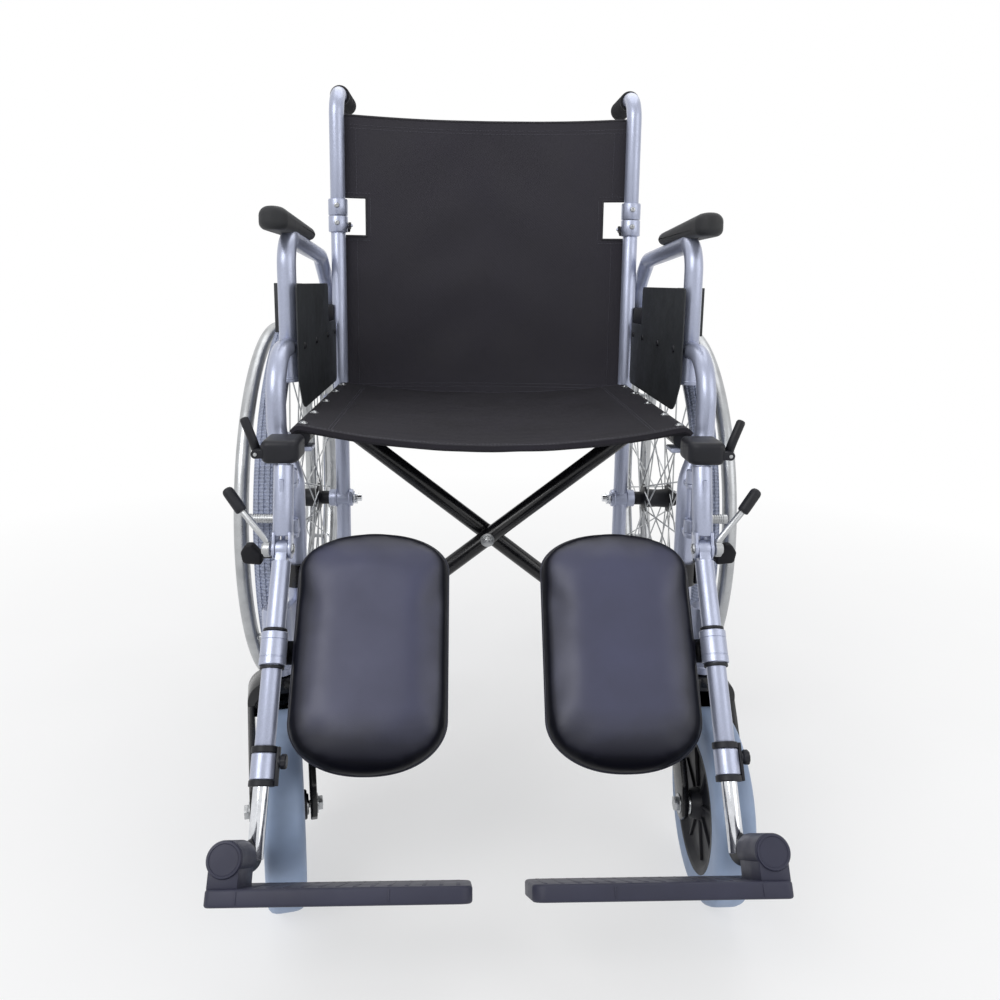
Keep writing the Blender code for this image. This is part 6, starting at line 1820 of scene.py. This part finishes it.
class ChairFinish(bpy.types.PropertyGroup):
    """Colours of the chair"""
    frame_colour: colour("Frame", "#a8aec3", "Powder coat of the frame's tubes")
    cloth_colour: colour("Cloth", "#2b2930", "Nylon of the seat and the back")
    vinyl_colour: colour("Vinyl", "#31334a", "Cover of the calf pads")
    footplate_colour: colour("Footplates", "#2c2d3e", "Moulded nylon of the footplates")
    tyre_colour: colour("Rear tyres", "#a2a9be", "Solid rubber of the rear tyres")
    caster_colour: colour("Caster tyres", "#98aac6", "Solid rubber of the caster tyres")


class ChairSizes(bpy.types.PropertyGroup):
    """Sizes of the chair's details"""
    spoke_radius: bpy.props.FloatProperty(
        name="Spoke radius", description="Radius of a rear wheel's wire spokes",
        default=0.0011, min=0.0006, max=0.0020, subtype="DISTANCE", unit="LENGTH")
    stitch_step: bpy.props.FloatProperty(
        name="Stitch step", description="Distance between the stitches of a seam",
        default=0.0044, min=0.003, max=0.010, subtype="DISTANCE", unit="LENGTH")
    calf_rise: bpy.props.FloatProperty(
        name="Calf pad rise", description="How far the calf pads' foam may swell",
        default=0.0065, min=0.0, max=0.012, subtype="DISTANCE", unit="LENGTH")
    hem_radius: bpy.props.FloatProperty(
        name="Hem radius", description="Radius of the back cloth's bound edges",
        default=0.0019, min=0.001, max=0.004, subtype="DISTANCE", unit="LENGTH")


# Operators
def both_sides(*makers):
    """Make some pieces for the left side and then for the right, as an operator does."""
    for side, word in SIDES:
        for maker in makers:
            maker(side, word)
    return {"FINISHED"}


class CHAIR_OT_stage(bpy.types.Operator):
    """Set out the floor, the lights and the camera"""
    bl_idname = "chair.stage"
    bl_label = "Stage"

    def execute(self, context):
        stage()
        return {"FINISHED"}


class CHAIR_OT_side_frames(bpy.types.Operator):
    """Build both side frames with the brackets of their arms"""
    bl_idname = "chair.side_frames"
    bl_label = "Side Frames"

    def execute(self, context):
        return both_sides(side_frame, arm_bracket)


class CHAIR_OT_cross(bpy.types.Operator):
    """Build the crossing tubes that fold the chair"""
    bl_idname = "chair.cross"
    bl_label = "Folding Cross"

    def execute(self, context):
        folding_cross()
        return {"FINISHED"}


class CHAIR_OT_rear_wheels(bpy.types.Operator):
    """Build the rear wheels with tyres, push rings and axles"""
    bl_idname = "chair.rear_wheels"
    bl_label = "Rear Wheels"

    def execute(self, context):
        return both_sides(wheel_spokes, wheel_tyre, push_ring, quick_axle)


class CHAIR_OT_casters(bpy.types.Operator):
    """Build the casters and their forks"""
    bl_idname = "chair.casters"
    bl_label = "Casters"

    def execute(self, context):
        return both_sides(caster_fork, caster_parts)


class CHAIR_OT_handles(bpy.types.Operator):
    """Build the folding tops of the back posts with grips and levers"""
    bl_idname = "chair.handles"
    bl_label = "Push Handles"

    def execute(self, context):
        return both_sides(upper_back, back_release)


class CHAIR_OT_arms(bpy.types.Operator):
    """Build the arms, their foam pads and the side guards"""
    bl_idname = "chair.arms"
    bl_label = "Arms"

    def execute(self, context):
        return both_sides(arm_tube, arm_pad, side_guard)


class CHAIR_OT_hangers(bpy.types.Operator):
    """Build the legrests' swing-away hangers and latches"""
    bl_idname = "chair.hangers"
    bl_label = "Legrest Hangers"

    def execute(self, context):
        return both_sides(hanger, latch_block, latch_lever)


class CHAIR_OT_legrests(bpy.types.Operator):
    """Build the elevating legs with their clamps and levers"""
    bl_idname = "chair.legrests"
    bl_label = "Elevating Legs"

    def execute(self, context):
        return both_sides(outer_leg, leg_clamp, ratchet_lever, inner_leg, calf_bracket)


class CHAIR_OT_footplates(bpy.types.Operator):
    """Build the footplates"""
    bl_idname = "chair.footplates"
    bl_label = "Footplates"

    def execute(self, context):
        return both_sides(foot_plate)


class CHAIR_OT_calf_pads(bpy.types.Operator):
    """Build the padded calf boards"""
    bl_idname = "chair.calf_pads"
    bl_label = "Calf Pads"

    def execute(self, context):
        return both_sides(calf_cushion)


class CHAIR_OT_brakes(bpy.types.Operator):
    """Build the wheel brakes"""
    bl_idname = "chair.brakes"
    bl_label = "Brakes"

    def execute(self, context):
        return both_sides(brake_mount, brake_handle)


class CHAIR_OT_seat_cloth(bpy.types.Operator):
    """Build the seat cloth with its screws and stitches"""
    bl_idname = "chair.seat_cloth"
    bl_label = "Seat Cloth"

    def execute(self, context):
        seat_cloth()
        return {"FINISHED"}


class CHAIR_OT_back_cloth(bpy.types.Operator):
    """Build the back cloth with its hems and stitches"""
    bl_idname = "chair.back_cloth"
    bl_label = "Back Cloth"

    def execute(self, context):
        back_cloth()
        return {"FINISHED"}


STEPS = (CHAIR_OT_stage, CHAIR_OT_side_frames, CHAIR_OT_cross, CHAIR_OT_rear_wheels,
         CHAIR_OT_casters, CHAIR_OT_handles, CHAIR_OT_arms, CHAIR_OT_hangers,
         CHAIR_OT_legrests, CHAIR_OT_footplates, CHAIR_OT_calf_pads, CHAIR_OT_brakes,
         CHAIR_OT_seat_cloth, CHAIR_OT_back_cloth)


class CHAIR_PT_panel(bpy.types.Panel):
    """Colours, sizes and building steps of the chair"""
    bl_idname = "CHAIR_PT_panel"
    bl_label = "Chair"
    bl_space_type = "VIEW_3D"
    bl_region_type = "UI"
    bl_category = "Chair"

    def draw(self, context):
        for group in (context.scene.chair_finish, context.scene.chair_sizes):
            box = self.layout.box()
            for name in group.__annotations__:
                box.prop(group, name)
        for step in STEPS:
            self.layout.operator(step.bl_idname)


CLASSES = (ChairFinish, ChairSizes, *STEPS, CHAIR_PT_panel)


def register():
    for item in CLASSES:
        bpy.utils.register_class(item)
    bpy.types.Scene.chair_finish = bpy.props.PointerProperty(type=ChairFinish)
    bpy.types.Scene.chair_sizes = bpy.props.PointerProperty(type=ChairSizes)


def unregister():
    del bpy.types.Scene.chair_sizes
    del bpy.types.Scene.chair_finish
    for item in reversed(CLASSES):
        bpy.utils.unregister_class(item)


def main():
    """Build the chair step by step."""
    register()
    for step in STEPS:
        getattr(bpy.ops.chair, step.bl_idname.split(".")[1])()


if __name__ == "__main__":
    main()
